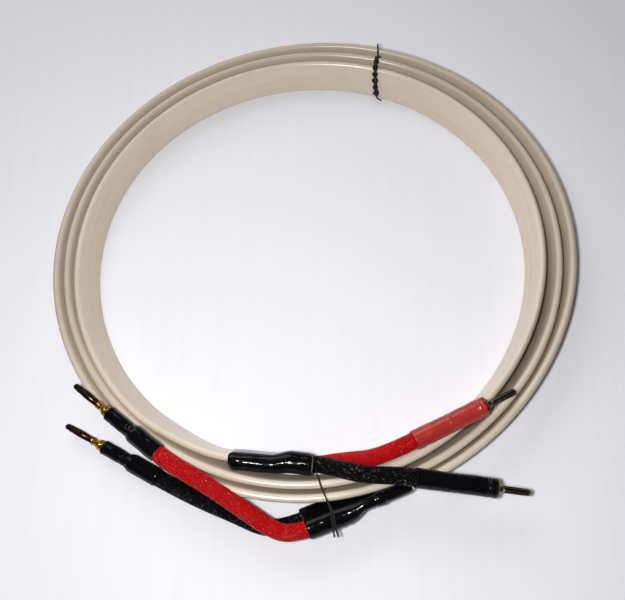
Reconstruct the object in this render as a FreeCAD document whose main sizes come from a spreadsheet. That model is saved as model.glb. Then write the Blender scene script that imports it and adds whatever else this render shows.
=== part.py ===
"""A flat two-pole loudspeaker cable, coiled on its edge, with a pair of banana plugs at each end.

Millimetres, +Z up. The coil is set out round its own centre with +Y away from the ends, and the whole
cable is then moved so that the middle of its footprint is the origin and the floor is z = 0.
"""

import FreeCAD, Part

import math
import os

import Sketcher

from FreeCAD import Placement, Rotation, Vector

doc = FreeCAD.newDocument("flat_speaker_cable")
sheet = doc.addObject("Spreadsheet::Sheet", "Sizes")

# Driving dimensions: alias, millimetres or degrees or a count, and what it measures
SIZES = (
    ("cable_width", 22.0, "flat jacket, edge to edge"),
    ("cable_thickness", 4.6, "flat jacket, face to face"),
    ("edge_radius", 1.8, "rounding of the jacket's edges"),
    ("foot_depth", 0.5, "flat on the lower edge that the coil stands on"),
    ("lean_angle", 18.0, "how far the standing jacket leans outwards"),
    ("mean_radius", 138.8, "coil radius at the start of the winding"),
    ("turn_growth", 7.25, "radius gained in one turn"),
    ("coil_shift_side", -2.3, "coil pulled sideways"),
    ("coil_shift_front", -8.2, "coil pulled to the front, where its ends are"),
    ("oval_side", 1.8, "coil wider along X"),
    ("oval_skew", 3.0, "coil wider along the diagonal"),
    ("turn_fan", 1.6, "turns fan out on the right in each turn"),
    ("winding_start", 232.0, "direction in which the free inner end leaves the coil"),
    ("winding_sweep", 1022.0, "turn of the winding, 2.8 times round"),
    ("inner_boot_side", -46.5, "inner boot's start along X from the coil's centre"),
    ("inner_boot_aim", -4.9, "direction of the inner boot"),
    ("core_diameter", 2.7, "one insulated conductor in the jacket"),
    ("core_spacing", 4.8, "conductor to conductor"),
    ("core_clearance", 0.15, "round each conductor in its channel"),
    ("jacket_in_boot", 22.0, "length of jacket held inside a boot"),
    ("pared_height", 9.1, "jacket's middle to its lower edge, pared inside a boot"),
    ("paring_clearance", 0.05, "pared jacket's corners to its own faces"),
    ("boot_wall", 0.5, "heat-shrink boot and sleeve"),
    ("boot_clearance", 0.1, "boot to what it is shrunk on"),
    ("inner_boot_length", 48.0, "boot on the inner end"),
    ("outer_boot_length", 61.5, "boot on the outer end, with its sleeve"),
    ("sleeve_length", 20.0, "short sleeve under the outer boot"),
    ("sleeve_lap", 4.0, "how far the outer boot laps the sleeve"),
    ("lap_step", 2.5, "over which the outer boot narrows past the sleeve"),
    ("inner_flat_length", 24.0, "inner boot's stretch on the jacket"),
    ("outer_flat_length", 28.0, "outer boot and sleeve's stretch on the jacket"),
    ("boot_flare_length", 12.0, "from the flat section to the two legs"),
    ("exit_corner", 0.3, "boot's exit squarer than the legs' own curve"),
    ("inner_exit_lean", 12.0, "lean of the two legs leaving the inner boot"),
    ("outer_exit_lean", 42.0, "lean of the two legs leaving the outer boot"),
    ("inner_exit_rise", 0.5, "legs' middle above the jacket's"),
    ("outer_exit_rise", -0.5, "legs' middle above the jacket's"),
    ("inner_exit_sway", 0.0, "boot's end bent in towards the coil"),
    ("outer_exit_sway", 2.5, "boot's end bent in towards the coil"),
    ("braid_diameter", 9.8, "braided sleeving on a leg"),
    ("braid_wall", 0.6, "braided sleeving"),
    ("braid_in_boot", 8.0, "braid held inside a boot"),
    ("exit_straight", 5.0, "leg straight past its boot"),
    ("leg_gap", 0.3, "between the two legs in a boot"),
    ("lead_clearance", 0.2, "bundled conductors inside the braid"),
    ("lead_root_diameter", 3.6, "bundled conductors where they leave the jacket"),
    ("root_crossing", 2.9, "each lead's offset where the two cross in the outer boot"),
    ("lead_overhang", 1.0, "lead's full width ahead of the braid"),
    ("strand_diameter", 4.8, "stripped strands in a plug's barrel"),
    ("strand_length", 14.0, "stripped strands in a plug's barrel"),
    ("shrink_wall", 0.6, "heat-shrink on a plug"),
    ("shrink_clearance", 0.15, "heat-shrink to what it grips"),
    ("braid_in_shrink", 18.0, "braid held inside a plug's heat-shrink"),
    ("braid_straight", 9.0, "braid straight ahead of its plug"),
    ("shrink_margin", 0.3, "heat-shrink's wide part past the braid's end"),
    ("shrink_step", 1.6, "length over which the heat-shrink narrows"),
    ("barrel_gap", 1.0, "braid's end to the barrel"),
    ("bore_clearance", 0.15, "strands to the barrel's bore"),
    ("bore_floor", 1.0, "beyond the strands in the bore"),
    ("slim_barrel_diameter", 7.0, "barrel of an outer plug"),
    ("slim_barrel_length", 18.5, "barrel of an outer plug, under the heat-shrink"),
    ("flange_diameter", 6.6, "gold flange at the heat-shrink's end"),
    ("flange_length", 2.8, "gold flange"),
    ("taper_length", 2.3, "gold taper down to the neck"),
    ("neck_diameter", 4.1, "gold neck"),
    ("neck_length", 1.2, "gold neck"),
    ("ring_diameter", 4.8, "gold ring behind the spring cage"),
    ("ring_length", 2.2, "gold ring"),
    ("stem_diameter", 2.9, "stem that the spring cage turns on"),
    ("cage_diameter", 4.0, "spring cage, a 4 mm plug"),
    ("cage_length", 14.8, "spring cage"),
    ("cage_clearance", 0.1, "cage on its stem, all round and at both ends"),
    ("cage_slots", 5, "lengthwise slots that make the leaves"),
    ("cage_turn", 28.0, "turn of the cage's first slot"),
    ("slot_width", 0.3, "a slot in the cage"),
    ("slot_margin", 1.6, "solid ring at each end of the cage"),
    ("tip_diameter", 3.5, "head that keeps the cage on"),
    ("tip_length", 3.4, "head that keeps the cage on"),
    ("nose_length", 1.3, "rounded end of the head"),
    ("nose_diameter", 1.8, "flat at the very end of the head"),
    ("stout_barrel_diameter", 9.7, "barrel of an inner plug"),
    ("stout_barrel_length", 26.5, "barrel of an inner plug, under the heat-shrink"),
    ("collar_diameter", 11.2, "metal rim past the heat-shrink"),
    ("collar_length", 1.6, "metal rim past the heat-shrink"),
    ("collar_bevel", 0.6, "bevel on the metal rim"),
    ("pin_diameter", 4.0, "rolled hollow pin, a 4 mm plug"),
    ("pin_wall", 0.5, "rolled hollow pin"),
    ("pin_length", 19.0, "rolled hollow pin past the rim"),
    ("pin_seat", 2.8, "stub on the rim that holds the rolled pin"),
    ("pin_seat_clearance", 0.05, "rolled pin to the stub and the rim"),
    ("pin_slit", 0.4, "seam and slots of the rolled pin"),
    ("pin_slit_start", 3.0, "rim to the start of the slots"),
    ("pin_slots", 4, "seam and slots of the rolled pin"),
    ("pin_turn", 45.0, "turn of the rolled pin's first slot"),
    ("thread_diameter", 1.1, "tie"),
    ("thread_clearance", 0.3, "tie to what it passes over"),
    ("knot_diameter", 3.4, "knot in the far tie"),
    ("far_tie_bearing", 72.3, "direction of the far tie from the coil's centre"),
)

for row, (alias, value, note) in enumerate(SIZES, start=1):
    sheet.set(f"A{row}", note)
    sheet.set(f"B{row}", str(value))
    sheet.setAlias(f"B{row}", alias)
doc.recompute()


class Size:
    """A size and the expression that gives it from the sheet."""

    def __init__(self, value, text):
        self.value = value
        self.text = text

    def _with(self, other, sign, value):
        text = other.text if isinstance(other, Size) else str(other)
        return Size(value, f"({self.text} {sign} {text})")

    def __add__(self, other):
        return self._with(other, "+", self.value + number(other))

    def __sub__(self, other):
        return self._with(other, "-", self.value - number(other))

    def __mul__(self, other):
        return self._with(other, "*", self.value * number(other))

    def __truediv__(self, other):
        return self._with(other, "/", self.value / number(other))


def number(size):
    return size.value if isinstance(size, Size) else float(size)


def cell(alias):
    """A size from the sheet, as an expression that a sketch can be bound to."""
    return Size(float(sheet.get(alias)), f"Sizes.{alias}")


def get(alias):
    """A size from the sheet, as a plain number."""
    return float(sheet.get(alias))


# Parts of the document, in the order in which they are written

pieces = {}


def keep(label, item, place=None):
    """Give a finished piece its name and its place in the coil's frame."""
    item.Label = label
    pieces[label] = (item, place or Placement())


def keep_shape(label, shape):
    feature = doc.addObject("Part::Feature", label)
    feature.Shape = shape
    keep(label, feature)


# The coil's plan: a spiral whose radius is a formula of the angle turned

WIDTH = get("cable_width")
THICKNESS = get("cable_thickness")
EDGE = get("edge_radius")
LEAN = math.radians(get("lean_angle"))
HALF_HEIGHT = (WIDTH / 2 - EDGE) * math.cos(LEAN) + (THICKNESS / 2 - EDGE) * math.sin(LEAN) + EDGE
CENTRE_Z = HALF_HEIGHT - get("foot_depth")
RIM_Z = CENTRE_Z + HALF_HEIGHT
START = math.radians(get("winding_start"))
SWEEP = math.radians(get("winding_sweep"))


def winding(turned):
    """The middle of the jacket after the winding has turned this far, clockwise from its inner end."""
    angle = START - turned
    turns = turned / (2 * math.pi)
    radius = get("mean_radius") + get("turn_growth") * turns
    radius += (get("coil_shift_side") + get("turn_fan") * turns) * math.cos(angle)
    radius += get("coil_shift_front") * math.sin(angle)
    radius += get("oval_side") * math.cos(2 * angle) + get("oval_skew") * math.sin(2 * angle)
    return Vector(radius * math.cos(angle), radius * math.sin(angle), CENTRE_Z)


def heading(turned):
    """The direction in which the winding runs there."""
    step = 1e-4
    along = winding(turned + step) - winding(turned - step)
    return along.normalize()


def arc(start, along, end):
    """The arc that leaves start in the direction along and reaches end."""
    chord = end - start
    side = along - chord * (along.dot(chord) / chord.dot(chord))
    bend = along.getAngle(chord)
    middle = start + chord / 2 + side.normalize() * (chord.Length / 2 * math.tan(bend / 2))
    return Part.Arc(start, middle, end).toShape()


def biarc(start, leaving, end, arriving):
    """Two arcs that join start to end, tangent to each other and to both directions."""
    span = end - start
    both = leaving + arriving
    spread = 2 * (1 - leaving.dot(arriving))
    reach = (math.sqrt(span.dot(both) ** 2 + spread * span.dot(span)) - span.dot(both)) / spread
    joint = (start + end + (leaving - arriving) * reach) / 2
    return [arc(start, leaving, joint), arc(end, -arriving, joint)]


QUARTER = math.pi / 2
marks = [QUARTER * step for step in range(math.ceil(SWEEP / QUARTER))] + [SWEEP]

# The inner end straightens as it leaves the coil; the outer end runs off along its tangent
INNER_BOOT_START = Vector(get("inner_boot_side"), -get("mean_radius"), CENTRE_Z)
INNER_BOOT_AIM = math.radians(get("inner_boot_aim"))
inner_out = Vector(math.cos(INNER_BOOT_AIM), math.sin(INNER_BOOT_AIM), 0)
outer_out = heading(SWEEP)
outer_boot_start = winding(SWEEP)
ENDS = {"inner": (INNER_BOOT_START, inner_out), "outer": (outer_boot_start, outer_out)}


def coil_path():
    """The jacket's middle line, from its end in the inner boot to its end in the outer boot."""
    held = get("jacket_in_boot")
    edges = [Part.LineSegment(INNER_BOOT_START + inner_out * held, INNER_BOOT_START).toShape()]
    edges += biarc(INNER_BOOT_START, -inner_out, winding(0), heading(0))
    for here, there in zip(marks, marks[1:]):
        edges += biarc(winding(here), heading(here), winding(there), heading(there))
    edges.append(Part.LineSegment(outer_boot_start, outer_boot_start + outer_out * held).toShape())
    return Part.Wire(Part.sortEdges(edges)[0])


path = coil_path()


# Sections: u runs out from the coil, v runs up the leaning jacket

def section_frame(origin, along, lean):
    """Unit vectors of a section square to along: outwards and up, leaned outwards."""
    outwards = along.cross(Vector(0, 0, 1)).normalize()
    if outwards.dot(Vector(origin.x, origin.y, 0)) < 0:
        outwards = -outwards
    up = Vector(0, 0, 1) * math.cos(lean) + outwards * math.sin(lean)
    across = outwards * math.cos(lean) - Vector(0, 0, 1) * math.sin(lean)
    return across, up


def rounded_section(origin, across, up, half_thickness, low, high, radius):
    """A closed wire with four straight sides and four round corners."""
    def at(u, v):
        return origin + across * u + up * v

    u, v_low, v_high = half_thickness - radius, radius - low, high - radius
    side = radius * math.sqrt(0.5)
    corners = (
        (at(half_thickness, v_high), at(u + side, v_high + side), at(u, high)),
        (at(-u, high), at(-u - side, v_high + side), at(-half_thickness, v_high)),
        (at(-half_thickness, v_low), at(-u - side, v_low - side), at(-u, -low)),
        (at(u, -low), at(u + side, v_low - side), at(half_thickness, v_low)),
    )
    edges = []
    for corner, following in zip(corners, corners[1:] + corners[:1]):
        edges.append(Part.Arc(*corner).toShape())
        edges.append(Part.LineSegment(corner[-1], following[0]).toShape())
    return Part.Wire(edges)


def circle(centre, along, radius):
    return Part.Wire(Part.makeCircle(radius, centre, along))


def swept(spine, section):
    """The solid of a section swept along a wire."""
    shell = Part.BRepOffsetAPI.MakePipeShell(spine)
    shell.add(section)
    shell.build()
    shell.makeSolid()
    solid = shell.shape()
    if solid.Volume < 0:
        solid.reverse()
    return solid


def long_solid(spine, section, channels=()):
    """A section swept along a wire, with channels right through it."""
    solid = swept(spine, section)
    if channels:
        solid = solid.cut([swept(spine, channel) for channel in channels]).Solids[0]
    return solid


def jacket_section():
    """The jacket's section at its inner end, with the foot cut flat."""
    start = path.Vertexes[0].Point
    across, up = section_frame(start, inner_out, LEAN)
    wire = rounded_section(start, across, up, THICKNESS / 2, WIDTH / 2, WIDTH / 2, EDGE)
    reach = 2 * WIDTH
    ground = Part.makeBox(2 * reach, 2 * reach, WIDTH)
    ground.translate(Vector(start.x - reach, start.y - reach, -WIDTH))
    return Part.Face(wire).cut(ground).Faces[0].OuterWire


def core_centres():
    start = path.Vertexes[0].Point
    _, up = section_frame(start, inner_out, LEAN)
    return [start + up * (get("core_spacing") * step) for step in (-1.5, -0.5, 0.5, 1.5)]


def paring(start, out):
    """What is pared off the jacket's lower edge inside a boot."""
    across, up = section_frame(start, out, LEAN)
    spare = get("paring_clearance")
    begin = start - out * spare
    length = get("jacket_in_boot") + 2 * spare
    block = rounded_section(begin, across, up, THICKNESS, WIDTH, -get("pared_height") / 2, EDGE)
    kept = rounded_section(begin, across, up, THICKNESS / 2 + spare, get("pared_height"), WIDTH, EDGE)
    return Part.Face(block).extrude(out * length).cut(Part.Face(kept).extrude(out * length))


def make_jacket():
    channel = get("core_diameter") / 2 + get("core_clearance")
    channels = [circle(centre, inner_out, channel) for centre in core_centres()]
    solid = long_solid(path, jacket_section(), channels)
    expected = (Part.Face(jacket_section()).Area - len(channels) * math.pi * channel ** 2) * path.Length
    print(f"jacket: {solid.Volume:.0f} mm3, section times length {expected:.0f} mm3")
    solid = solid.cut([paring(INNER_BOOT_START, inner_out), paring(outer_boot_start, outer_out)])
    keep_shape("flat_jacket", solid.Solids[0])


def make_cores():
    for label, centre in zip(("red_core_1", "red_core_2", "black_core_1", "black_core_2"), core_centres()):
        keep_shape(label, long_solid(path, circle(centre, inner_out, get("core_diameter") / 2)))


def least_gap(spacing, apart):
    """The least gap between turns, from points along the middle line and at least this far apart on it."""
    points = path.discretize(Distance=spacing)
    best = math.inf
    for index, here in enumerate(points):
        for there in points[index + round(apart / spacing):]:
            best = min(best, (here - there).Length)
    return best * math.cos(LEAN) - THICKNESS


def report_coil():
    radii = [edge.Curve.Radius for edge in path.Edges if hasattr(edge.Curve, "Radius")]
    gap = least_gap(spacing=2.5, apart=100.0)
    print(f"coil: {path.Length:.0f} mm, least gap between turns {gap:.2f} mm")
    print(f"coil: rim at {RIM_Z:.2f} mm, arc radii from {min(radii):.0f} to {max(radii):.0f} mm")


# Sketches, bound to the sheet

def new_body(label):
    return doc.addObject("PartDesign::Body", label)


def new_sketch(body, name, role="XY_Plane"):
    sketch = body.newObject("Sketcher::SketchObject", name)
    plane = next(item for item in body.Origin.OriginFeatures if item.Role == role)
    sketch.AttachmentSupport = (plane, [""])
    sketch.MapMode = "FlatFace"
    return sketch


def bind(sketch, kind, args, size):
    """A dimension of a sketch, given by a size."""
    index = sketch.addConstraint(Sketcher.Constraint(kind, *args, number(size)))
    if isinstance(size, Size):
        sketch.setExpression(f"Constraints[{index}]", size.text)


def polygon_sketch(body, name, corners):
    """A closed outline from its corners, none of them left of or below the origin."""
    sketch = new_sketch(body, name)
    points = [Vector(number(x), number(y), 0) for x, y in corners]
    count = len(points)
    for index in range(count):
        sketch.addGeometry(Part.LineSegment(points[index], points[(index + 1) % count]), False)
    for index in range(count):
        sketch.addConstraint(Sketcher.Constraint("Coincident", index, 2, (index + 1) % count, 1))
    for index, (x, y) in enumerate(corners):
        for kind, size, axis in (("DistanceX", x, -2), ("DistanceY", y, -1)):
            if number(size) == 0:
                sketch.addConstraint(Sketcher.Constraint("PointOnObject", index, 1, axis))
            else:
                bind(sketch, kind, (-1, 1, index, 1), size)
    return sketch


def turned_body(label, corners):
    """A body of revolution about its own X axis."""
    body = new_body(label)
    sketch = polygon_sketch(body, label + "_outline", corners)
    turn = body.newObject("PartDesign::Revolution", label + "_turn")
    turn.Profile = sketch
    turn.ReferenceAxis = (sketch, ["H_Axis"])
    turn.Angle = 360
    sketch.Visibility = False
    return body


def cut_slots(body, name, start, end, width, count, depth, turn):
    """Lengthwise slots through the wall of a turned tube, evenly round its axis."""
    sketch = new_sketch(body, name + "_outline")
    sketch.AttachmentOffset = Placement(Vector(), Rotation(0, 0, number(turn)))
    sketch.setExpression("AttachmentOffset.Rotation.Roll", turn.text)
    left, right, half = number(start), number(end), number(width) / 2
    corners = [Vector(left, -half, 0), Vector(right, -half, 0), Vector(right, half, 0), Vector(left, half, 0)]
    for index in range(4):
        sketch.addGeometry(Part.LineSegment(corners[index], corners[(index + 1) % 4]), False)
    for index in range(4):
        sketch.addConstraint(Sketcher.Constraint("Coincident", index, 2, (index + 1) % 4, 1))
    for index, kind in enumerate(("Horizontal", "Vertical", "Horizontal")):
        sketch.addConstraint(Sketcher.Constraint(kind, index))
    sketch.addConstraint(Sketcher.Constraint("Symmetric", 0, 1, 2, 2, -1))
    bind(sketch, "DistanceY", (1, 1, 1, 2), width)
    bind(sketch, "DistanceX", (-1, 1, 0, 1), start)
    bind(sketch, "DistanceX", (-1, 1, 0, 2), end)
    pocket = body.newObject("PartDesign::Pocket", name)
    pocket.Profile = sketch
    pocket.Length = number(depth)
    pocket.setExpression("Length", depth.text)
    pattern = body.newObject("PartDesign::PolarPattern", name + "_pattern")
    pattern.Originals = [pocket]
    pattern.Axis = (sketch, ["H_Axis"])
    pattern.Angle = 360
    pattern.Occurrences = int(number(count))
    pattern.setExpression("Occurrences", count.text)
    body.Tip = pattern


def rounded_sketch(body, name, height, sway, shift, turn, half_thickness, half_height, radius):
    """A rounded rectangle across the body's Z axis, raised, shifted along X and Y and turned."""
    sketch = new_sketch(body, name)
    wide, tall, round_off = number(half_thickness), number(half_height), number(radius)
    u, v = wide - round_off, tall - round_off
    for step, (a, b) in enumerate(((1, 1), (-1, 1), (-1, -1), (1, -1))):
        ring = Part.Circle(Vector(a * u, b * v, 0), Vector(0, 0, 1), round_off)
        sketch.addGeometry(Part.ArcOfCircle(ring, step * QUARTER, (step + 1) * QUARTER), False)
    lines = (((u, tall), (-u, tall)), ((-wide, v), (-wide, -v)), ((-u, -tall), (u, -tall)), ((wide, -v), (wide, v)))
    for first, last in lines:
        sketch.addGeometry(Part.LineSegment(Vector(*first, 0), Vector(*last, 0)), False)
    for step in range(4):
        sketch.addConstraint(Sketcher.Constraint("Tangent", step, 2, 4 + step, 1))
        sketch.addConstraint(Sketcher.Constraint("Tangent", 4 + step, 2, (step + 1) % 4, 1))
        sketch.addConstraint(Sketcher.Constraint("Vertical" if step % 2 else "Horizontal", 4 + step))
    for step in range(3):
        sketch.addConstraint(Sketcher.Constraint("Equal", 0, step + 1))
    sketch.addConstraint(Sketcher.Constraint("Symmetric", 0, 3, 2, 3, -1, 1))
    bind(sketch, "Radius", (0,), radius)
    bind(sketch, "DistanceX", (1, 3, 0, 3), (half_thickness - radius) * 2)
    bind(sketch, "DistanceY", (3, 3, 0, 3), (half_height - radius) * 2)
    base = Vector(number(sway), number(shift), number(height))
    sketch.AttachmentOffset = Placement(base, Rotation(number(turn), 0, 0))
    for field, size in (("Base.z", height), ("Base.x", sway), ("Base.y", shift), ("Rotation.Yaw", turn)):
        if isinstance(size, Size):
            sketch.setExpression(f"AttachmentOffset.{field}", size.text)
    return sketch


def loft_body(label, stations):
    """A ruled tube through stations: each a height and the same section outside and inside."""
    body = new_body(label)
    for kind, skin in (("PartDesign::AdditiveLoft", 1), ("PartDesign::SubtractiveLoft", 2)):
        name = f"{label}_{'outside' if skin == 1 else 'inside'}"
        sketches = []
        for step, station in enumerate(stations):
            sketches.append(rounded_sketch(body, f"{name}_{step}", station[0], *station[skin]))
        loft = body.newObject(kind, name)
        loft.Profile = sketches[0]
        loft.Sections = sketches[1:]
        loft.Ruled = True
        body.Tip = loft
    return body


# Boots

leg_pitch = cell("braid_diameter") + cell("leg_gap")


def flat_section(offset):
    """Sway, shift, turn, half thickness, half height and corner radius round the pared jacket."""
    high = cell("cable_width") / 2 + offset
    low = cell("pared_height") + offset
    thickness = cell("cable_thickness") / 2 + offset
    return 0, (high - low) / 2, 0, thickness, (high + low) / 2, cell("edge_radius") + offset


def exit_section(offset, sway, rise, turn):
    """The same round the two legs."""
    half = cell("braid_diameter") / 2 + offset
    return sway, rise, turn, half, leg_pitch / 2 + half, half - cell("exit_corner")


def station(height, section, *args, base=None):
    """A height and the section there, outside and inside of the boot's wall."""
    inside = (base or Size(0.0, "0")) + cell("boot_clearance")
    return height, section(inside + cell("boot_wall"), *args), section(inside, *args)


def boot_place(start, out):
    """The boot's frame: Z along the cable, Y up the leaning jacket."""
    across, up = section_frame(start, out, LEAN)
    return Placement(start, Rotation(up.cross(out), up, out, "ZYX"))


def exit_at(end, fraction):
    """Sway, rise and turn of the legs' section, part of the way to the boot's exit."""
    start, out = ENDS[end]
    across, _ = section_frame(start, out, LEAN)
    side = -1 if boot_place(start, out).Rotation.multVec(Vector(1, 0, 0)).dot(across) > 0 else 1
    turn = (cell(f"{end}_exit_lean") - cell("lean_angle")) * side
    return cell(f"{end}_exit_sway") * (side * fraction), cell(f"{end}_exit_rise"), turn


def make_inner_boot():
    flat, length = cell("inner_flat_length"), cell("inner_boot_length")
    keep("inner_boot", loft_body("inner_boot", (
        station(Size(0.0, "0"), flat_section),
        station(flat, flat_section),
        station(flat + cell("boot_flare_length"), exit_section, *exit_at("inner", 0)),
        station(length, exit_section, *exit_at("inner", 1)),
    )), boot_place(*ENDS["inner"]))


def make_outer_boot():
    sleeve, place = cell("sleeve_length"), boot_place(*ENDS["outer"])
    keep("outer_boot_sleeve", loft_body("outer_boot_sleeve", (
        station(Size(0.0, "0"), flat_section),
        station(sleeve, flat_section),
    )), place)

    flat, length = cell("outer_flat_length"), cell("outer_boot_length")
    under = cell("boot_wall") + cell("boot_clearance")
    keep("outer_boot", loft_body("outer_boot", (
        station(sleeve - cell("sleeve_lap"), flat_section, base=under),
        station(sleeve + cell("boot_clearance"), flat_section, base=under),
        station(sleeve + cell("lap_step"), flat_section),
        station(flat, flat_section),
        station(flat + cell("boot_flare_length"), exit_section, *exit_at("outer", 0)),
        station(length, exit_section, *exit_at("outer", 1)),
    )), place)


# Legs: straight runs joined by arcs that touch them

ARC_SHARE = 0.45  # of a run, taken up by the arc at each of its ends
STRAIGHT_SHARE = 1 / 6  # of a crossing lead's start, straight at each of its ends


def rounded_route(points):
    """A wire through a route, each arc as large as its two runs allow, and the arcs' radii."""
    edges, radii = [], []
    begin = points[0]
    for before, here, after in zip(points, points[1:], points[2:]):
        arriving, leaving = here - before, after - here
        reach = ARC_SHARE * min(arriving.Length, leaving.Length)
        turn = arriving.getAngle(leaving)
        first = here - arriving.normalize() * reach
        last = here + leaving.normalize() * reach
        edges.append(Part.LineSegment(begin, first).toShape())
        edges.append(arc(first, arriving, last))
        radii.append(reach / math.tan(turn / 2))
        begin = last
    edges.append(Part.LineSegment(begin, points[-1]).toShape())
    return Part.Wire(edges), radii


class Leg:
    """One leg: its boot and side, its plug's kind, place and direction, and its route between them."""

    def __init__(self, end, pole, side, plug, root, azimuth, pitch, route):
        self.name = f"{end}_{pole}"
        self.end, self.side, self.plug = end, side, plug
        self.start, self.boot_out = ENDS[end]
        across, jacket_up = section_frame(self.start, self.boot_out, LEAN)
        _, up = section_frame(self.start, self.boot_out, math.radians(get(f"{end}_exit_lean")))
        length, sway = get(f"{end}_boot_length"), -get(f"{end}_exit_sway")
        bent = length - get(f"{end}_flat_length") - get("boot_flare_length")
        self.out = (self.boot_out * bent + across * sway).normalize()
        self.exit = self.start + self.boot_out * length + across * sway
        self.exit += jacket_up * get(f"{end}_exit_rise") + up * (side * number(leg_pitch) / 2)
        self.root = self.exit + Vector(*root)
        self.place = Placement(self.root, Rotation(azimuth, -pitch, 0))
        self.axis = self.place.Rotation.multVec(Vector(1, 0, 0))
        ahead = self.root - self.axis * get("braid_straight")
        points = [self.exit, self.exit + self.out * get("exit_straight")]
        self.route = [*points, *(self.exit + Vector(*point) for point in route), ahead, self.root]

    def spine(self, in_boot):
        """The leg's middle line, held straight in the boot and in its plug."""
        wire, radii = rounded_route(self.route)
        inside = Part.LineSegment(self.exit - self.out * in_boot, self.exit).toShape()
        held = Part.LineSegment(self.root, self.root + self.axis * get("braid_in_shrink")).toShape()
        return Part.Wire([inside, *wire.Edges, held]), radii


# Each plug's place and each route are chosen by hand, from where the leg leaves its boot
LEGS = (
    Leg("inner", "black", 1, "stout", (57.7, -10.1, 12.6), -6.0, -8.0,
        ((10.7, -0.8, 2.7), (17.0, -1.9, 8.2), (27.8, -5.3, 12.0))),
    Leg("inner", "red", -1, "stout", (57.9, 8.9, 21.6), 25.7, 0.0,
        ((11.6, 1.6, 2.0), (21.1, 3.2, 7.3), (34.1, 2.0, 16.2))),
    Leg("outer", "red", 1, "slim", (-85.4, 37.8, 12.6), 142.0, 0.0,
        ((-14.5, -3.3, 0.6), (-23.9, -0.5, 1.4), (-39.4, 9.1, 7.9), (-56.4, 19.9, 12.5))),
    Leg("outer", "black", -1, "slim", (-85.7, 21.5, -0.9), 151.5, 0.0,
        ((-15.4, -5.7, -1.6), (-24.9, -6.4, -1.6), (-38.9, 0.1, -1.6), (-58.9, 8.2, -1.6))),
)


def make_braid(leg):
    """The hollow braided sleeving along a leg."""
    spine, radii = leg.spine(get("braid_in_boot"))
    start = spine.OrderedVertexes[0].Point
    outside = get("braid_diameter") / 2
    inside = outside - get("braid_wall")
    solid = long_solid(spine, circle(start, leg.out, outside), [circle(start, leg.out, inside)])
    expected = math.pi * (outside ** 2 - inside ** 2) * spine.Length
    print(f"{leg.name}_braid: {spine.Length:.0f} mm, radii {[round(radius) for radius in radii]} mm")
    print(f"{leg.name}_braid: {solid.Volume:.0f} mm3, section times length {expected:.0f} mm3")
    keep_shape(f"{leg.name}_braid", solid)


def root_route(leg):
    """The narrow start of a lead, from the jacket's end to its full width in the boot's exit."""
    across, up = section_frame(leg.start, leg.boot_out, LEAN)
    # Black conductors lie in the jacket's upper half at both ends
    upper = 1 if leg.name.endswith("black") else -1
    begin = leg.start + up * (upper * get("core_spacing")) + leg.boot_out * get("jacket_in_boot")
    end = leg.exit - leg.out * (get("braid_in_boot") + get("lead_overhang"))
    if upper == leg.side:
        return [begin, end]
    straight = leg.boot_out * ((end - begin).dot(leg.boot_out) * STRAIGHT_SHARE)
    middle = (begin + end) / 2
    middle -= up * (middle - leg.start).dot(up)
    middle += across * (upper * get("root_crossing") - (middle - leg.start).dot(across))
    return [begin, begin + straight, middle, end - straight, end]


def make_lead(leg):
    """The bundled conductors of one pole, from the jacket to the plug's barrel."""
    spine, _ = leg.spine(get("braid_in_boot") + get("lead_overhang"))
    radius = get("braid_diameter") / 2 - get("braid_wall") - get("lead_clearance")
    bundle = long_solid(spine, circle(spine.OrderedVertexes[0].Point, leg.out, radius))
    points = root_route(leg)
    if len(points) == 2:
        root_spine = Part.Wire(Part.LineSegment(*points).toShape())
    else:
        root_spine, _ = rounded_route(points)
    root = long_solid(root_spine, circle(points[0], leg.boot_out, get("lead_root_diameter") / 2))
    strands = Part.makeCylinder(
        get("strand_diameter") / 2,
        get("barrel_gap") + get("strand_length"),
        leg.root + leg.axis * get("braid_in_shrink"),
        leg.axis,
    )
    keep_shape(f"{leg.name}_lead", bundle.fuse([root, strands]).Solids[0])


# Plugs, each about its own X axis, from the start of its heat-shrink

barrel_start = cell("braid_in_shrink") + cell("barrel_gap")
bore_radius = cell("strand_diameter") / 2 + cell("bore_clearance")
bore_end = barrel_start + cell("strand_length") + cell("bore_floor")
slim_end = barrel_start + cell("slim_barrel_length")
stout_end = barrel_start + cell("stout_barrel_length")
gold_end = slim_end + cell("flange_length") + cell("taper_length") + cell("neck_length") + cell("ring_length")
rim_end = stout_end + cell("collar_length")


def make_shrink(leg):
    """Heat-shrink that grips the braid's end and the barrel."""
    grip = cell(f"{leg.plug}_barrel_diameter") / 2 + cell("shrink_clearance")
    loose = cell("braid_diameter") / 2 + cell("shrink_clearance")
    wall = cell("shrink_wall")
    wide_end = cell("braid_in_shrink") + cell("shrink_margin")
    narrow_start = wide_end + cell("shrink_step")
    end = slim_end if leg.plug == "slim" else stout_end
    keep(f"{leg.name}_plug_shrink", turned_body(f"{leg.name}_plug_shrink", (
        (0, loose), (0, loose + wall), (wide_end, loose + wall), (narrow_start, grip + wall),
        (end, grip + wall), (end, grip), (narrow_start, grip), (wide_end, loose),
    )), leg.place)


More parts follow.
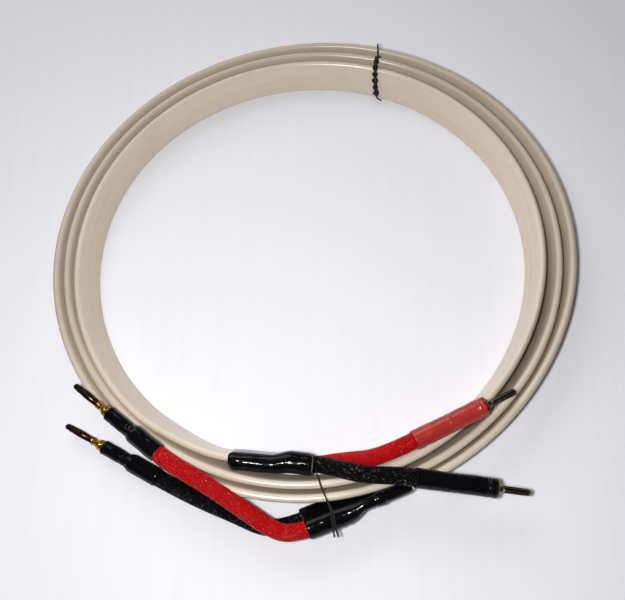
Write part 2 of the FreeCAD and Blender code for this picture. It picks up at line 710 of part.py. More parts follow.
def make_slim_plug(leg):
    """Gold body with a stem, and the slotted spring cage that turns on it."""
    barrel = cell("slim_barrel_diameter") / 2
    flange_end = slim_end + cell("flange_length")
    taper_end = flange_end + cell("taper_length")
    neck_end = taper_end + cell("neck_length")
    tip_start = gold_end + cell("cage_length") + cell("cage_clearance") * 2
    nose_end = tip_start + cell("tip_length")
    neck, ring, stem = cell("neck_diameter") / 2, cell("ring_diameter") / 2, cell("stem_diameter") / 2
    keep(f"{leg.name}_plug_body", turned_body(f"{leg.name}_plug_body", (
        (barrel_start, bore_radius), (barrel_start, barrel), (slim_end, barrel),
        (slim_end, cell("flange_diameter") / 2), (flange_end, cell("flange_diameter") / 2),
        (taper_end, neck), (neck_end, neck), (neck_end, ring), (gold_end, ring), (gold_end, stem),
        (tip_start, stem), (tip_start, cell("tip_diameter") / 2),
        (nose_end - cell("nose_length"), cell("tip_diameter") / 2), (nose_end, cell("nose_diameter") / 2),
        (nose_end, 0), (bore_end, 0), (bore_end, bore_radius),
    )), leg.place)

    begin, end = gold_end + cell("cage_clearance"), tip_start - cell("cage_clearance")
    inside, outside = stem + cell("cage_clearance"), cell("cage_diameter") / 2
    cage = turned_body(f"{leg.name}_spring_cage", (
        (begin, inside), (begin, outside), (end, outside), (end, inside),
    ))
    margin = cell("slot_margin")
    cut_slots(cage, f"{leg.name}_cage_slot", begin + margin, end - margin, cell("slot_width"),
              cell("cage_slots"), cell("cage_diameter"), cell("cage_turn"))
    keep(f"{leg.name}_spring_cage", cage, leg.place)


def make_stout_plug(leg):
    """Barrel with a bevelled metal rim, and the rolled hollow pin held on its stub."""
    barrel, collar = cell("stout_barrel_diameter") / 2, cell("collar_diameter") / 2
    bevel, spare = cell("collar_bevel"), cell("pin_seat_clearance")
    outside = cell("pin_diameter") / 2
    inside = outside - cell("pin_wall")
    seat_end = rim_end + cell("pin_seat")
    keep(f"{leg.name}_plug_body", turned_body(f"{leg.name}_plug_body", (
        (barrel_start, bore_radius), (barrel_start, barrel), (stout_end, barrel), (stout_end, collar),
        (rim_end - bevel, collar), (rim_end, collar - bevel), (rim_end, inside - spare),
        (seat_end, inside - spare), (seat_end, 0), (bore_end, 0), (bore_end, bore_radius),
    )), leg.place)

    begin = rim_end + spare
    end = begin + cell("pin_length")
    pin = turned_body(f"{leg.name}_rolled_pin", (
        (begin, inside), (begin, outside), (end, outside), (end, inside),
    ))
    cut_slots(pin, f"{leg.name}_pin_slot", begin + cell("pin_slit_start"), end + cell("pin_wall"),
              cell("pin_slit"), cell("pin_slots"), cell("pin_diameter"), cell("pin_turn"))
    keep(f"{leg.name}_rolled_pin", pin, leg.place)


# Ties: thread that holds the turns together

OVER = RIM_Z + get("thread_diameter") / 2 + get("thread_clearance")


def make_tie(label, route, knot=None):
    """One thread along its route, with a knot where it is tied."""
    points = [Vector(*point) for point in route]
    spine, _ = rounded_route(points)
    towards = (points[1] - points[0]).normalize()
    solid = long_solid(spine, circle(points[0], towards, get("thread_diameter") / 2))
    if knot:
        solid = solid.fuse(Part.makeSphere(get("knot_diameter") / 2, Vector(*knot))).Solids[0]
    keep_shape(label, solid)


def make_far_tie():
    """The tie across all the turns, with its knot on the inside."""
    bearing = math.radians(get("far_tie_bearing"))

    def beside(turn, offset, height, swing=0.0):
        """A point beside the middle of a turn, seen from the coil's centre."""
        middle = winding(START - bearing + 2 * math.pi * turn)
        radius = math.hypot(middle.x, middle.y) + offset
        angle = bearing + math.radians(swing)
        return radius * math.cos(angle), radius * math.sin(angle), height

    knot = beside(0, -3.2, 14.0)
    make_tie("far_tie", (
        beside(2, 6.9, 2.0), beside(2, 7.4, 12.0), beside(2, 7.4, OVER + 0.5), beside(2, -0.5, OVER),
        beside(1, -2.7, OVER), beside(0, -1.0, OVER + 0.2), knot, beside(0, -6.5, 6.0),
        beside(0, -13.0, 1.0, -2.3),
    ), knot)


def make_near_tie():
    """The tie across two turns and the outer boot."""
    side = outer_out.cross(Vector(0, 0, 1))

    def over(along, across, height):
        """A point across the outer boot."""
        point = outer_boot_start + outer_out * along + side * across
        return point.x, point.y, height

    make_tie("near_tie", (
        over(46.9, 23.0, 18.3), over(47.1, 20.9, OVER), over(46.8, 14.2, OVER), over(47.0, 6.3, OVER),
        over(48.6, -4.3, OVER), over(49.9, -13.0, 14.5), over(49.8, -14.4, 6.0),
    ))


make_jacket()
make_cores()
make_inner_boot()
make_outer_boot()
for leg in LEGS:
    make_braid(leg)
    make_lead(leg)
    make_shrink(leg)
    if leg.plug == "slim":
        make_slim_plug(leg)
    else:
        make_stout_plug(leg)
make_far_tie()
make_near_tie()
doc.recompute()
report_coil()

# The middle of the footprint becomes the origin

box = FreeCAD.BoundBox()
for item, place in pieces.values():
    placed = item.Shape.copy()
    placed.Placement = place * placed.Placement
    box.add(placed.optimalBoundingBox())
centre = Vector(-box.Center.x, -box.Center.y, 0)
for item, place in pieces.values():
    item.Placement = Placement(centre, Rotation()) * place
doc.recompute()
print(f"whole: {box.XLength:.1f} by {box.YLength:.1f} by {box.ZLength:.1f} mm, lowest {box.ZMin:.2f} mm")
print(f"coil's centre: {centre.x:.2f}, {centre.y:.2f} mm")

for item in doc.Objects:
    if "Invalid" in item.State or "Error" in item.State:
        raise RuntimeError(f"{item.Label}: {item.State}")
for label, (item, _) in pieces.items():
    if item.Shape.isNull() or not item.Shape.isValid():
        raise RuntimeError(f"{label} has no valid shape")

os.makedirs("parts", exist_ok=True)
for label, (item, _) in pieces.items():
    item.Shape.exportStep(f"parts/{label}.step")
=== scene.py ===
import math

import bmesh
import bpy
from bpy.props import FloatProperty, FloatVectorProperty, IntProperty, PointerProperty
from mathutils import Matrix, Vector, noise


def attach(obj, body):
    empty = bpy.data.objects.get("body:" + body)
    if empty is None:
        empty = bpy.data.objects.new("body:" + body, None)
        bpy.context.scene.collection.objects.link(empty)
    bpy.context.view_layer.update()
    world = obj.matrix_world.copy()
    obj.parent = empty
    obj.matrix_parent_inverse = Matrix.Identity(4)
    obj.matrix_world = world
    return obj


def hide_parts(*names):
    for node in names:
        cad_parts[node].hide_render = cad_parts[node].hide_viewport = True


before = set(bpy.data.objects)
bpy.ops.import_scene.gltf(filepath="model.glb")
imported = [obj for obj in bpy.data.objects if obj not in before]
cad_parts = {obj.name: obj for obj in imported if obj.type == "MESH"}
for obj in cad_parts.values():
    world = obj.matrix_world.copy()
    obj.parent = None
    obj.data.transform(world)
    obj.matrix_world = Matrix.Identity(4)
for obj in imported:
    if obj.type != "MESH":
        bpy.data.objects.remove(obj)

bl_info = {
    "name": "Flat speaker cable",
    "version": (1, 0, 0),
    "blender": (4, 5, 0),
    "location": "View3D > Sidebar > Cable",
    "description": "Dresses a coiled flat loudspeaker cable: jacket, boots, braided legs, plugs and ties",
    "category": "Add Mesh",
}

# Places in millimetres in the coil's frame, as the solids have them
MM = 0.001
COIL_CENTRE = Vector((-3.15, 17.37, 0.0)) * MM
CABLE_BODY = "cable"

WINDING_START = math.radians(232.0)
WINDING_SWEEP = math.radians(1022.0)
POINTS_PER_TURN = 60
INNER_BOOT_START = Vector((-46.5, -138.8, 0.0))
INNER_BOOT_OUT = Vector((math.cos(math.radians(-4.9)), math.sin(math.radians(-4.9)), 0.0))
OUTER_BOOT_START = Vector((56.28, -154.62, 0.0))
OUTER_BOOT_OUT = Vector((-0.9306, -0.3660, 0.0))
INNER_LEGS_OUT = (0.9963, -0.0854, 0.0)
OUTER_LEGS_OUT = (-0.9400, -0.3393, 0.0361)
# Leans in degrees: the jacket's where it enters a boot, and those of the legs that leave the two boots
END_LEAN, INNER_EXIT_LEAN, OUTER_EXIT_LEAN = 18.0, 12.0, 42.0
# How far the jacket and the legs reach into boots and plugs, and how far the legs run straight beside them
HELD_IN_BOOT = 22.0
HELD_IN_PLUG = 18.0
BRAID_IN_BOOT = 8.0
EXIT_STRAIGHT = 5.0
BRAID_STRAIGHT = 9.0
LEG_STEP = 0.8

# Each leg: its pole, its plug's kind, where and how it leaves its boot, its route, and its plug's place
LEGS = {
    "inner_black": {
        "pole": "black", "plug": "stout", "exit": (1.2, -144.1, 15.6), "out": INNER_LEGS_OUT,
        "route": ((11.9, -146.2, 18.0), (18.6, -148.6, 22.8), (30.0, -152.2, 26.2)),
        "root": (58.9, -154.2, 28.2), "azimuth": -6.0, "pitch": -8.0,
    },
    "inner_red": {
        "pole": "red", "plug": "stout", "exit": (1.4, -142.0, 5.7), "out": INNER_LEGS_OUT,
        "route": ((13.0, -141.6, 7.7), (22.8, -141.4, 12.2), (35.5, -142.2, 20.8)),
        "root": (59.3, -133.1, 27.3), "azimuth": 25.7, "pitch": 0.0,
    },
    "outer_red": {
        "pole": "red", "plug": "slim", "exit": (0.1, -179.7, 14.3), "out": OUTER_LEGS_OUT,
        "route": ((-14.8, -183.0, 14.9), (-24.5, -178.4, 15.7), (-40.0, -168.8, 22.2), (-57.0, -158.0, 26.8)),
        "root": (-86.0, -140.1, 26.9), "azimuth": 142.0, "pitch": 0.0,
    },
    "outer_black": {
        "pole": "black", "plug": "slim", "exit": (-2.2, -174.0, 6.7), "out": OUTER_LEGS_OUT,
        "route": ((-17.5, -178.6, 5.1), (-28.0, -178.0, 5.1), (-42.0, -171.5, 5.1), (-62.0, -163.4, 5.1)),
        "root": (-88.8, -150.1, 5.8), "azimuth": 151.5, "pitch": 0.0,
    },
}

# Stations along a plug, in millimetres from the start of its heat-shrink
CAGE_START, CAGE_END = 46.1, 60.9
CAGE_TURN = math.radians(28.0)
RIM_END = 47.1
SLIT_START = RIM_END + 3.0
PIN_END = 66.1
PIN_RADIUS = 2.0


def srgb(hex_code):
    """The three parts of a colour written in hex, each from 0 to 1."""
    return [int(hex_code[place:place + 2], 16) / 255 for place in (1, 3, 5)]


def size(label, default, detail):
    """A length in millimetres that a user may change."""
    return FloatProperty(
        name=label, description=f"{detail}, in millimetres", default=default, min=0.0, precision=3,
    )


def shade(label, hex_code, detail):
    """A colour that a user may change, kept as written in sRGB."""
    return FloatVectorProperty(
        name=label, description=detail, subtype="COLOR_GAMMA", size=3, min=0.0, max=1.0, default=srgb(hex_code),
    )


class CableSizes(bpy.types.PropertyGroup):
    """Sizes of the flat jacket and of its coil."""
    width: size("Width", 22.0, "Flat jacket, edge to edge")
    thickness: size("Thickness", 4.6, "Flat jacket, face to face")
    edge: size("Edge radius", 2.25, "Rounding of the jacket's edges")
    foot: size("Foot", 0.5, "Depth of the flat that the coil stands on")
    end_lean: FloatProperty(
        name="Lean at the ends", description="Lean of the jacket where it enters a boot",
        default=math.radians(END_LEAN), subtype="ANGLE",
    )
    mean_radius: size("Coil radius", 138.8, "Coil radius at the start of the winding")
    turn_growth: size("Growth", 7.25, "Radius gained in one turn")


class LegSizes(bpy.types.PropertyGroup):
    """Sizes of the braided legs."""
    diameter: size("Braid diameter", 9.8, "Braided sleeving on a leg")
    carriers: IntProperty(
        name="Carriers", description="Flat yarns that wind each way round a leg", default=16, min=4, max=32,
    )
    ribbon: size("Ribbon width", 1.08, "Width of one flat yarn")
    pitch: size("Pitch", 30.0, "Length in which a yarn goes once round")


class BootSizes(bpy.types.PropertyGroup):
    """Sizes of the heat-shrink boots and of the heat-shrinks on the plugs."""
    wall: size("Wall", 0.5, "Wall of a boot")
    inner_length: size("Inner boot", 48.0, "Boot on the inner end")
    outer_length: size("Outer boot", 63.5, "Boot on the outer end with its sleeve")
    sleeve_length: size("Sleeve", 20.0, "Short sleeve under the outer boot")
    shrink_wall: size("Plug shrink wall", 0.6, "Wall of a plug's heat-shrink")


class PlugSizes(bpy.types.PropertyGroup):
    """Sizes of the plugs' contacts."""
    leaves: IntProperty(name="Cage leaves", description="Sprung leaves of a cage", default=5, min=3, max=12)
    bulge: size("Cage bulge", 0.28, "How far a leaf bows out at its middle")
    pin_leaves: IntProperty(name="Pin leaves", description="Leaves of a rolled pin", default=4, min=2, max=8)
    slit: size("Slit", 0.6, "Gap between two leaves of a rolled pin")


class TieSizes(bpy.types.PropertyGroup):
    """Sizes of the thread ties."""
    diameter: size("Thread", 1.1, "Thread of a tie")
    twist: size("Twist", 3.2, "Length in which a ply goes once round")


class CableColours(bpy.types.PropertyGroup):
    """Colours of the finishes."""
    ivory: shade("Ivory", "#DED0BE", "Jacket")
    ivory_soiled: shade("Soiled ivory", "#CDBBA3", "Jacket soiled by handling")
    # Painted shade: the jacket is tinted towards this colour between its turns, low down and on the outer half of its
    # rims
    ivory_grimy: shade("Shaded ivory", "#7A6347", "Jacket painted darker as shade between its turns")
    black: shade("Heat-shrink black", "#050608", "Boots and heat-shrinks")
    red: shade("Heat-shrink red", "#A32A22", "Heat-shrink on the inner red plug")
    braid_red: shade("Braid red", "#C41014", "Red braided sleeving")
    braid_black: shade("Braid black", "#050507", "Black braided sleeving")
    gold: shade("Gold", "#B98D42", "Gold-plated plug bodies")
    tarnish: shade("Tarnish", "#33251A", "Darkened pins of the outer plugs")
    nickel: shade("Nickel", "#6E6558", "Rolled pins of the inner plugs")
    thread: shade("Thread", "#08080A", "Ties")
    glue: shade("Glue", "#57512A", "Hot-melt lining at the end of a heat-shrink")
    floor: shade("Floor", "#F0F0F5", "Painted board that the cable lies on")


class StageSettings(bpy.types.PropertyGroup):
    """Light and camera."""
    depression: FloatProperty(
        name="Camera tilt", description="How far below the horizon the camera looks",
        default=math.radians(68.0), subtype="ANGLE",
    )
    lens: FloatProperty(name="Lens", description="Focal length in millimetres", default=47.24, min=1.0)
    key: FloatProperty(name="Key light", description="Power of the lamp beside the camera", default=2.15, min=0.0)
    soft: FloatProperty(name="Soft light", description="Power of the broad lamp behind", default=6.5, min=0.0)
    fill: FloatProperty(name="Fill light", description="Strength of the room overhead", default=0.09, min=0.0)


GROUPS = {
    "flat_cable": CableSizes, "flat_cable_legs": LegSizes, "flat_cable_boots": BootSizes,
    "flat_cable_plugs": PlugSizes, "flat_cable_ties": TieSizes, "flat_cable_colours": CableColours,
    "flat_cable_stage": StageSettings,
}


# Small helpers

def at(point):
    """A place in metres from one given in millimetres in the coil's frame."""
    return Vector(point) * MM + COIL_CENTRE


def linear(parts):
    """A colour's sRGB parts, as the linear values that a shader takes."""
    return (*(part / 12.92 if part <= 0.04045 else ((part + 0.055) / 1.055) ** 2.4 for part in parts), 1.0)


def colour(name):
    """A colour of the panel by its name, or one written in hex, as a shader takes it."""
    return linear(srgb(name) if name[0] == "#" else getattr(bpy.context.scene.flat_cable_colours, name))


def add(tree, kind, links=None, **settings):
    """A node with its settings; links gives its inputs a value or another node's output each."""
    node = tree.nodes.new(kind)
    for setting, value in settings.items():
        setattr(node, setting, value)
    for key, source in (links or {}).items():
        if isinstance(source, bpy.types.Node):
            source = source.outputs[0]
        if isinstance(source, bpy.types.NodeSocket):
            tree.links.new(source, node.inputs[key])
        else:
            node.inputs[key].default_value = source
    return node


def sums(tree, operation, *values):
    """A node that reckons with its values."""
    return add(tree, "ShaderNodeMath", dict(enumerate(values)), operation=operation)


def put_in_scene(name, data):
    item = bpy.data.objects.new(name, data)
    bpy.context.scene.collection.objects.link(item)
    return item


def smooth_step(value):
    value = min(max(value, 0.0), 1.0)
    return value * value * (3.0 - 2.0 * value)


def mesh_from(name, bm, materials):
    """A mesh from a bmesh, which is used up, with its materials."""
    mesh = bpy.data.meshes.new(name)
    bm.to_mesh(mesh)
    bm.free()
    for material in materials:
        mesh.materials.append(material)
    return mesh


def skin(name, rings, material, ends="caps"):
    """A tube of quads through rings of points, its UV map in metres along it and round it.

    Its ends are closed with caps, or joined to each other where the rings go out along the
    outside and back along the inside of a wall.
    """
    bm = bmesh.new()
    layer = bm.loops.layers.uv.new("UVMap")
    grid = [[bm.verts.new(point) for point in ring] for ring in rings]
    count = len(rings[0])
    middles = [sum(ring, Vector()) / count for ring in rings]
    along, around = [0.0], []
    for here, there in zip(middles, middles[1:]):
        along.append(along[-1] + (there - here).length)
    for ring in rings:
        sums = [0.0]
        for here, there in zip(ring, ring[1:] + ring[:1]):
            sums.append(sums[-1] + (there - here).length)
        around.append(sums)
    for row in range(len(rings) - (ends != "joined")):
        following = (row + 1) % len(rings)
        for column in range(count):
            beside = (column + 1) % count
            corners = (
                (row, column, column), (row, beside, column + 1), (following, beside, column + 1),
                (following, column, column),
            )
            face = bm.faces.new([grid[place][vertex] for place, vertex, _ in corners])
            face.smooth = True
            for loop, (place, _, step) in zip(face.loops, corners):
                loop[layer].uv = (along[place], around[place][step])
    if ends == "caps":
        bm.faces.new(grid[0])
        bm.faces.new(grid[-1])
    bmesh.ops.recalc_face_normals(bm, faces=bm.faces)
    return mesh_from(name, bm, [material])


def rounded_outline(half_wide, half_tall, radius, corner_steps=6, sides=(0.04, 0.35, 0.65, 0.96)):
    """Points round a rectangle with round corners, the same number whatever its sizes."""
    wide, tall = half_wide - radius, half_tall - radius
    middles = ((wide, tall), (-wide, tall), (-wide, -tall), (wide, -tall))
    points = []
    for quarter, (x, y) in enumerate(middles):
        for step in range(corner_steps + 1):
            angle = math.pi / 2 * (quarter + step / corner_steps)
            points.append((x + radius * math.cos(angle), y + radius * math.sin(angle)))
        last, (x, y) = points[-1], middles[(quarter + 1) % 4]
        first = (x + radius * math.cos(angle), y + radius * math.sin(angle))
        points += [tuple(a + (b - a) * share for a, b in zip(last, first)) for share in sides]
    return points


def route_line(points):
    """Places along the smooth spline whose control points are a route's."""
    curve = bpy.data.curves.new("route", "CURVE")
    curve.dimensions = "3D"
    spline = curve.splines.new("NURBS")
    spline.points.add(len(points) - 1)
    for control, point in zip(spline.points, points):
        control.co = (*point, 1.0)
    spline.order_u = 3
    spline.use_endpoint_u = True
    spline.resolution_u = 12
    item = put_in_scene("route", curve)
    mesh = bpy.data.meshes.new_from_object(item)
    line = [vertex.co.copy() for vertex in mesh.vertices]
    bpy.data.objects.remove(item)
    bpy.data.curves.remove(curve)
    bpy.data.meshes.remove(mesh)
    return line


def line_length(line):
    return sum((there - here).length for here, there in zip(line, line[1:]))


def evenly(line, spacing):
    """The same line with its points a given distance apart."""
    length = line_length(line)
    count = max(2, round(length / spacing))
    step = goal = length / count
    points, walked = [line[0]], 0.0
    for here, there in zip(line, line[1:]):
        run = (there - here).length
        while goal <= walked + run + 1e-12 and len(points) < count:
            points.append(here.lerp(there, (goal - walked) / run))
            goal += step
        walked += run
    points.append(line[-1])
    return points


def directions(line):
    """The direction of a line at each of its points."""
    ahead = line[1:] + line[-1:]
    behind = line[:1] + line[:-1]
    return [(there - here).normalized() for here, there in zip(behind, ahead)]


def carried_frames(line):
    """Two directions square to a line at each point, turning as little as they can along it."""
    frames, side = [], None
    for along in directions(line):
        if side is None:
            side = along.orthogonal()
        side = (side - along * side.dot(along)).normalized()
        frames.append((side, along.cross(side)))
    return frames


def circle(segments):
    """The cosines and sines of evenly spaced directions."""
    angles = [2 * math.pi * step / segments for step in range(segments)]
    return [(math.cos(angle), math.sin(angle)) for angle in angles]


def round_rings(line, radii, segments):
    """Circles of points square to a line."""
    return [
        [point + (side * x + over * y) * radius for x, y in circle(segments)]
        for point, radius, (side, over) in zip(line, radii, carried_frames(line))
    ]


# Geometry node trees

def new_tree(name, inputs):
    """A tree with a mesh in, a mesh out and named inputs, and its group input and output."""
    tree = bpy.data.node_groups.new(name, "GeometryNodeTree")
    tree.interface.new_socket("Mesh", in_out="INPUT", socket_type="NodeSocketGeometry")
    tree.interface.new_socket("Mesh", in_out="OUTPUT", socket_type="NodeSocketGeometry")
    for label, kind in inputs:
        tree.interface.new_socket(label, in_out="INPUT", socket_type="NodeSocket" + kind)
    return tree, tree.nodes.new("NodeGroupInput").outputs, tree.nodes.new("NodeGroupOutput").inputs


def strands_tree():
    """Yarns wound round a path: flat ones that weave over and under, or round plies of a thread."""
    tree, given, result = new_tree("Yarns round a path", (
        ("Yarns", "Int"), ("Turns", "Float"), ("Radius", "Float"), ("Weave", "Float"), ("Crossings", "Float"),
        ("Width", "Float"), ("Thickness", "Float"), ("Samples", "Int"), ("Material", "Material"),
    ))

    def scaled(vector, factor):
        return add(tree, "ShaderNodeVectorMath", {0: vector, "Scale": factor}, operation="SCALE")

    path = add(tree, "GeometryNodeMeshToCurve", {"Mesh": given["Mesh"]})
    path = add(tree, "GeometryNodeResampleCurve", {"Curve": path, "Count": given["Samples"]}, mode="COUNT")
    path = add(tree, "GeometryNodeSetCurveNormal", {"Curve": path}, mode="MINIMUM_TWIST")
    yarns = add(tree, "GeometryNodeDuplicateElements", {"Geometry": path, "Amount": given["Yarns"]}, domain="SPLINE")
    share = add(tree, "GeometryNodeSplineParameter").outputs["Factor"]
    start = sums(tree, "DIVIDE", yarns.outputs["Duplicate Index"], given["Yarns"])
    angle = sums(tree, "MULTIPLY", sums(tree, "ADD", start, sums(tree, "MULTIPLY", share, given["Turns"])), 2 * math.pi)
    normal = add(tree, "GeometryNodeInputNormal").outputs["Normal"]
    tangent = add(tree, "GeometryNodeInputTangent")
    sideways = add(tree, "ShaderNodeVectorMath", {0: tangent, 1: normal}, operation="CROSS_PRODUCT")
    outwards = add(tree, "ShaderNodeVectorMath", {
        0: scaled(normal, sums(tree, "COSINE", angle)), 1: scaled(sideways, sums(tree, "SINE", angle)),
    }, operation="ADD")
    crossing = sums(tree, "COSINE", sums(tree, "MULTIPLY", share, given["Crossings"]))
    over = sums(tree, "MULTIPLY", crossing, given["Weave"])
    girth = add(tree, "GeometryNodeInputNamedAttribute", {"Name": "girth"}, data_type="FLOAT")
    radius = sums(tree, "ADD", sums(tree, "MULTIPLY", given["Radius"], girth), over)
    held = add(tree, "GeometryNodeCaptureAttribute", {"Geometry": yarns})
    held.capture_items.new("VECTOR", "Outwards")
    tree.links.new(outwards.outputs[0], held.inputs["Outwards"])
    moved = add(tree, "GeometryNodeSetPosition", {"Geometry": held, "Offset": scaled(outwards, radius)})
    moved = add(tree, "GeometryNodeSetCurveNormal", {"Curve": moved}, mode="FREE")
    tree.links.new(held.outputs["Outwards"], moved.inputs["Normal"])
    profile = add(tree, "GeometryNodeCurvePrimitiveCircle", {"Resolution": 6, "Radius": 0.5}, mode="RADIUS")
    proportions = add(tree, "ShaderNodeCombineXYZ", {"X": given["Thickness"], "Y": given["Width"], "Z": 1.0})
    profile = add(tree, "GeometryNodeTransform", {"Geometry": profile, "Scale": proportions})
    solid = add(tree, "GeometryNodeCurveToMesh", {"Curve": moved, "Profile Curve": profile, "Fill Caps": True})
    solid = add(tree, "GeometryNodeRealizeInstances", {"Geometry": solid})
    solid = add(tree, "GeometryNodeSetMaterial", {"Geometry": solid, "Material": given["Material"]})
    tree.links.new(solid.outputs[0], result["Mesh"])
    return tree


def ring_tree():
    """One leaf repeated evenly round the X axis."""
    tree, given, result = new_tree("Leaves round an axis", (("Leaves", "Int"),))
    points = add(tree, "GeometryNodeMeshLine", {"Count": given["Leaves"], "Offset": (0.0, 0.0, 0.0)})
    index = add(tree, "GeometryNodeInputIndex")
    angle = sums(tree, "MULTIPLY", sums(tree, "DIVIDE", index, given["Leaves"]), 2 * math.pi)
    turn = add(tree, "ShaderNodeCombineXYZ", {"X": angle})
    rotation = add(tree, "FunctionNodeEulerToRotation", {0: turn})
    leaves = add(tree, "GeometryNodeInstanceOnPoints", {
        "Points": points, "Instance": given["Mesh"], "Rotation": rotation,
    })
    leaves = add(tree, "GeometryNodeRealizeInstances", {"Geometry": leaves})
    tree.links.new(leaves.outputs[0], result["Mesh"])
    return tree


def grown(tree, mesh, values):
    """The plain mesh that a tree makes from another mesh."""
    item = put_in_scene("growing", mesh)
    modifier = item.modifiers.new("Grow", "NODES")
    modifier.node_group = tree
    for socket in tree.interface.items_tree:
        if socket.item_type == "SOCKET" and socket.in_out == "INPUT" and socket.name in values:
            modifier[socket.identifier] = values[socket.name]
    graph = bpy.context.evaluated_depsgraph_get()
    result = bpy.data.meshes.new_from_object(item.evaluated_get(graph))
    item.modifiers.remove(modifier)
    bpy.data.objects.remove(item)
    return result


def path_mesh(line, girths):
    """A line as a mesh of edges that a tree can follow."""
    mesh = bpy.data.meshes.new("path")
    mesh.from_pydata(line, [(step, step + 1) for step in range(len(line) - 1)], [])
    girth = mesh.attributes.new("girth", "FLOAT", "POINT")
    girth.data.foreach_set("value", girths)
    return mesh


def joined(name, meshes):
    """One mesh from several, with their materials."""
    bm = bmesh.new()
    materials = []
    for mesh in meshes:
        begin = len(bm.faces)
        bm.from_mesh(mesh)
        bm.faces.ensure_lookup_table()
        slots = []
        for material in mesh.materials:
            if material not in materials:
                materials.append(material)
            slots.append(materials.index(material))
        for face in bm.faces[begin:]:
            face.material_index = slots[min(face.material_index, len(slots) - 1)]
            face.smooth = True
    return mesh_from(name, bm, materials)


# Finishes

# How bright the surroundings are seen, where 1 is white
PALE = 0.9
# From the first distance from the middle the board turns as pale as they are, and is so past the second, in metres
PALE_FROM, PALE_PAST = 0.34, 0.9


def new_finish(name, plain):
    """A material, its tree, its shader with some plain inputs, and where on the object it is seen."""
    material = bpy.data.materials.new(name)
    material.use_nodes = True
    tree = material.node_tree
    shader = next(node for node in tree.nodes if node.type == "BSDF_PRINCIPLED")
    for key, value in plain.items():
        shader.inputs[key].default_value = value
    return material, tree, shader, tree.nodes.new("ShaderNodeTexCoord").outputs["Object"]


def stretched(tree, source, scale):
    return add(tree, "ShaderNodeMapping", {"Vector": source, "Scale": scale})


def clouds(tree, vector, scale, detail=3.0, rough=0.5):
    return add(tree, "ShaderNodeTexNoise", {
        "Vector": vector, "Scale": scale, "Detail": detail, "Roughness": rough,
    }).outputs["Fac"]


def between(tree, value, low, high, new_low=0.0, new_high=1.0):
    return add(tree, "ShaderNodeMapRange", {
        "Value": value, "From Min": low, "From Max": high, "To Min": new_low, "To Max": new_high,
    }).outputs["Result"]


def blend(tree, share, first, second, mode="MIX"):
    node = add(tree, "ShaderNodeMix", {"Factor": share, 6: first, 7: second}, data_type="RGBA", blend_type=mode)
    return node.outputs[2]


def wired(tree, shader, tint, rough, height, distance, strength=1.0):
    """Wire a shader's colour, its roughness and the height of its bumps."""
    bump = add(tree, "ShaderNodeBump", {"Height": height, "Distance": distance, "Strength": strength})
    for key, source in (("Base Color", tint), ("Roughness", rough), ("Normal", bump.outputs["Normal"])):
        tree.links.new(source, shader.inputs[key])


def extruded_pvc():
    """Soft ivory PVC, extruded: satin, with die lines along it, a little dust and handling dirt, and painted shade
    between its turns and on the outer half of its rims.
    """
    material, tree, shader, place = new_finish("extruded_ivory_pvc", {"IOR": 1.53})
    sheet = place.node.outputs["UV"]
    # Die lines 0.5 mm apart run along the jacket for decimetres
    lines = clouds(tree, stretched(tree, sheet, (8.0, 2000.0, 1.0)), 1.0, 2.0)
    dirt = between(tree, clouds(tree, place, 38.0, 6.0, 0.62), 0.5, 0.8, 0.0, 0.6)
    streaks = between(tree, clouds(tree, stretched(tree, sheet, (14.0, 320.0, 1.0)), 1.0, 4.0), 0.45, 0.8, 0.0, 0.5)
    tint = blend(tree, sums(tree, "MAXIMUM", dirt, streaks), colour("ivory"), colour("ivory_soiled"))
    # Painted shade: darker between the turns, low down near the board, and on the outer half of the rim, where shade
    # falls
    parts = add(tree, "ShaderNodeSeparateXYZ", {0: place})
    across = add(tree, "ShaderNodeSeparateXYZ", {0: sheet})
    low = between(tree, parts.outputs["Z"], 0.002, 0.020, 1.0, 0.3)
    later_turns = between(tree, across.outputs["X"], 0.84, 0.96, 0.14, 0.9)
    outer_face = between(tree, across.outputs["Y"], 0.0290, 0.0345, 0.0, 0.6)
    faces = sums(tree, "MULTIPLY", sums(tree, "MAXIMUM", later_turns, outer_face), low)
    rim = between(tree, across.outputs["Y"], 0.0028, 0.0046, 0.55, 0.0)
    # On the near side the painted shade is mostly left out, as light reaches between the turns there
    shade_by_side = between(tree, parts.outputs["Y"], -0.13, -0.03, 0.12, 1.0)
    shade_share = sums(tree, "MULTIPLY", sums(tree, "MAXIMUM", faces, rim), shade_by_side)
    tint = blend(tree, shade_share, tint, colour("ivory_grimy"))
    # A few specks of grit, 0.6 mm across, stick to the jacket
    grit = add(tree, "ShaderNodeTexVoronoi", {"Vector": place, "Scale": 34.0}).outputs["Distance"]
    speck = between(tree, grit, 0.010, 0.018, 0.85, 0.0)
    tint = blend(tree, speck, tint, colour("#291F17"))
    wired(tree, shader, tint, between(tree, lines, 0.3, 0.7, 0.18, 0.27), lines, 0.00006)
    return material


def shrunk_tube(name, tint, low, high, gloss):
    """Heat-shrunk polyolefin: glossy, with soft ripples where it was heated and fine scuffs.

    Its roughness lies between low and high.
    """
    material, tree, shader, place = new_finish(name, {"IOR": 1.50, "Specular IOR Level": gloss})
    tint = colour(tint)
    ripple = clouds(tree, place, 150.0, 2.0)
    scuff = clouds(tree, place, 1400.0, 4.0, 0.6)
    share = between(tree, clouds(tree, place, 90.0), 0.35, 0.7, 0.0, 0.55)
    # Paler where it was stretched
    lighter = [min(1.0, part * 1.3 + 0.001) for part in tint[:3]]
    tint = blend(tree, share, tint, (*lighter, 1.0))
    wired(tree, shader, tint, between(tree, scuff, 0.35, 0.7, low, high), ripple, 0.0005, 0.8)
    return material


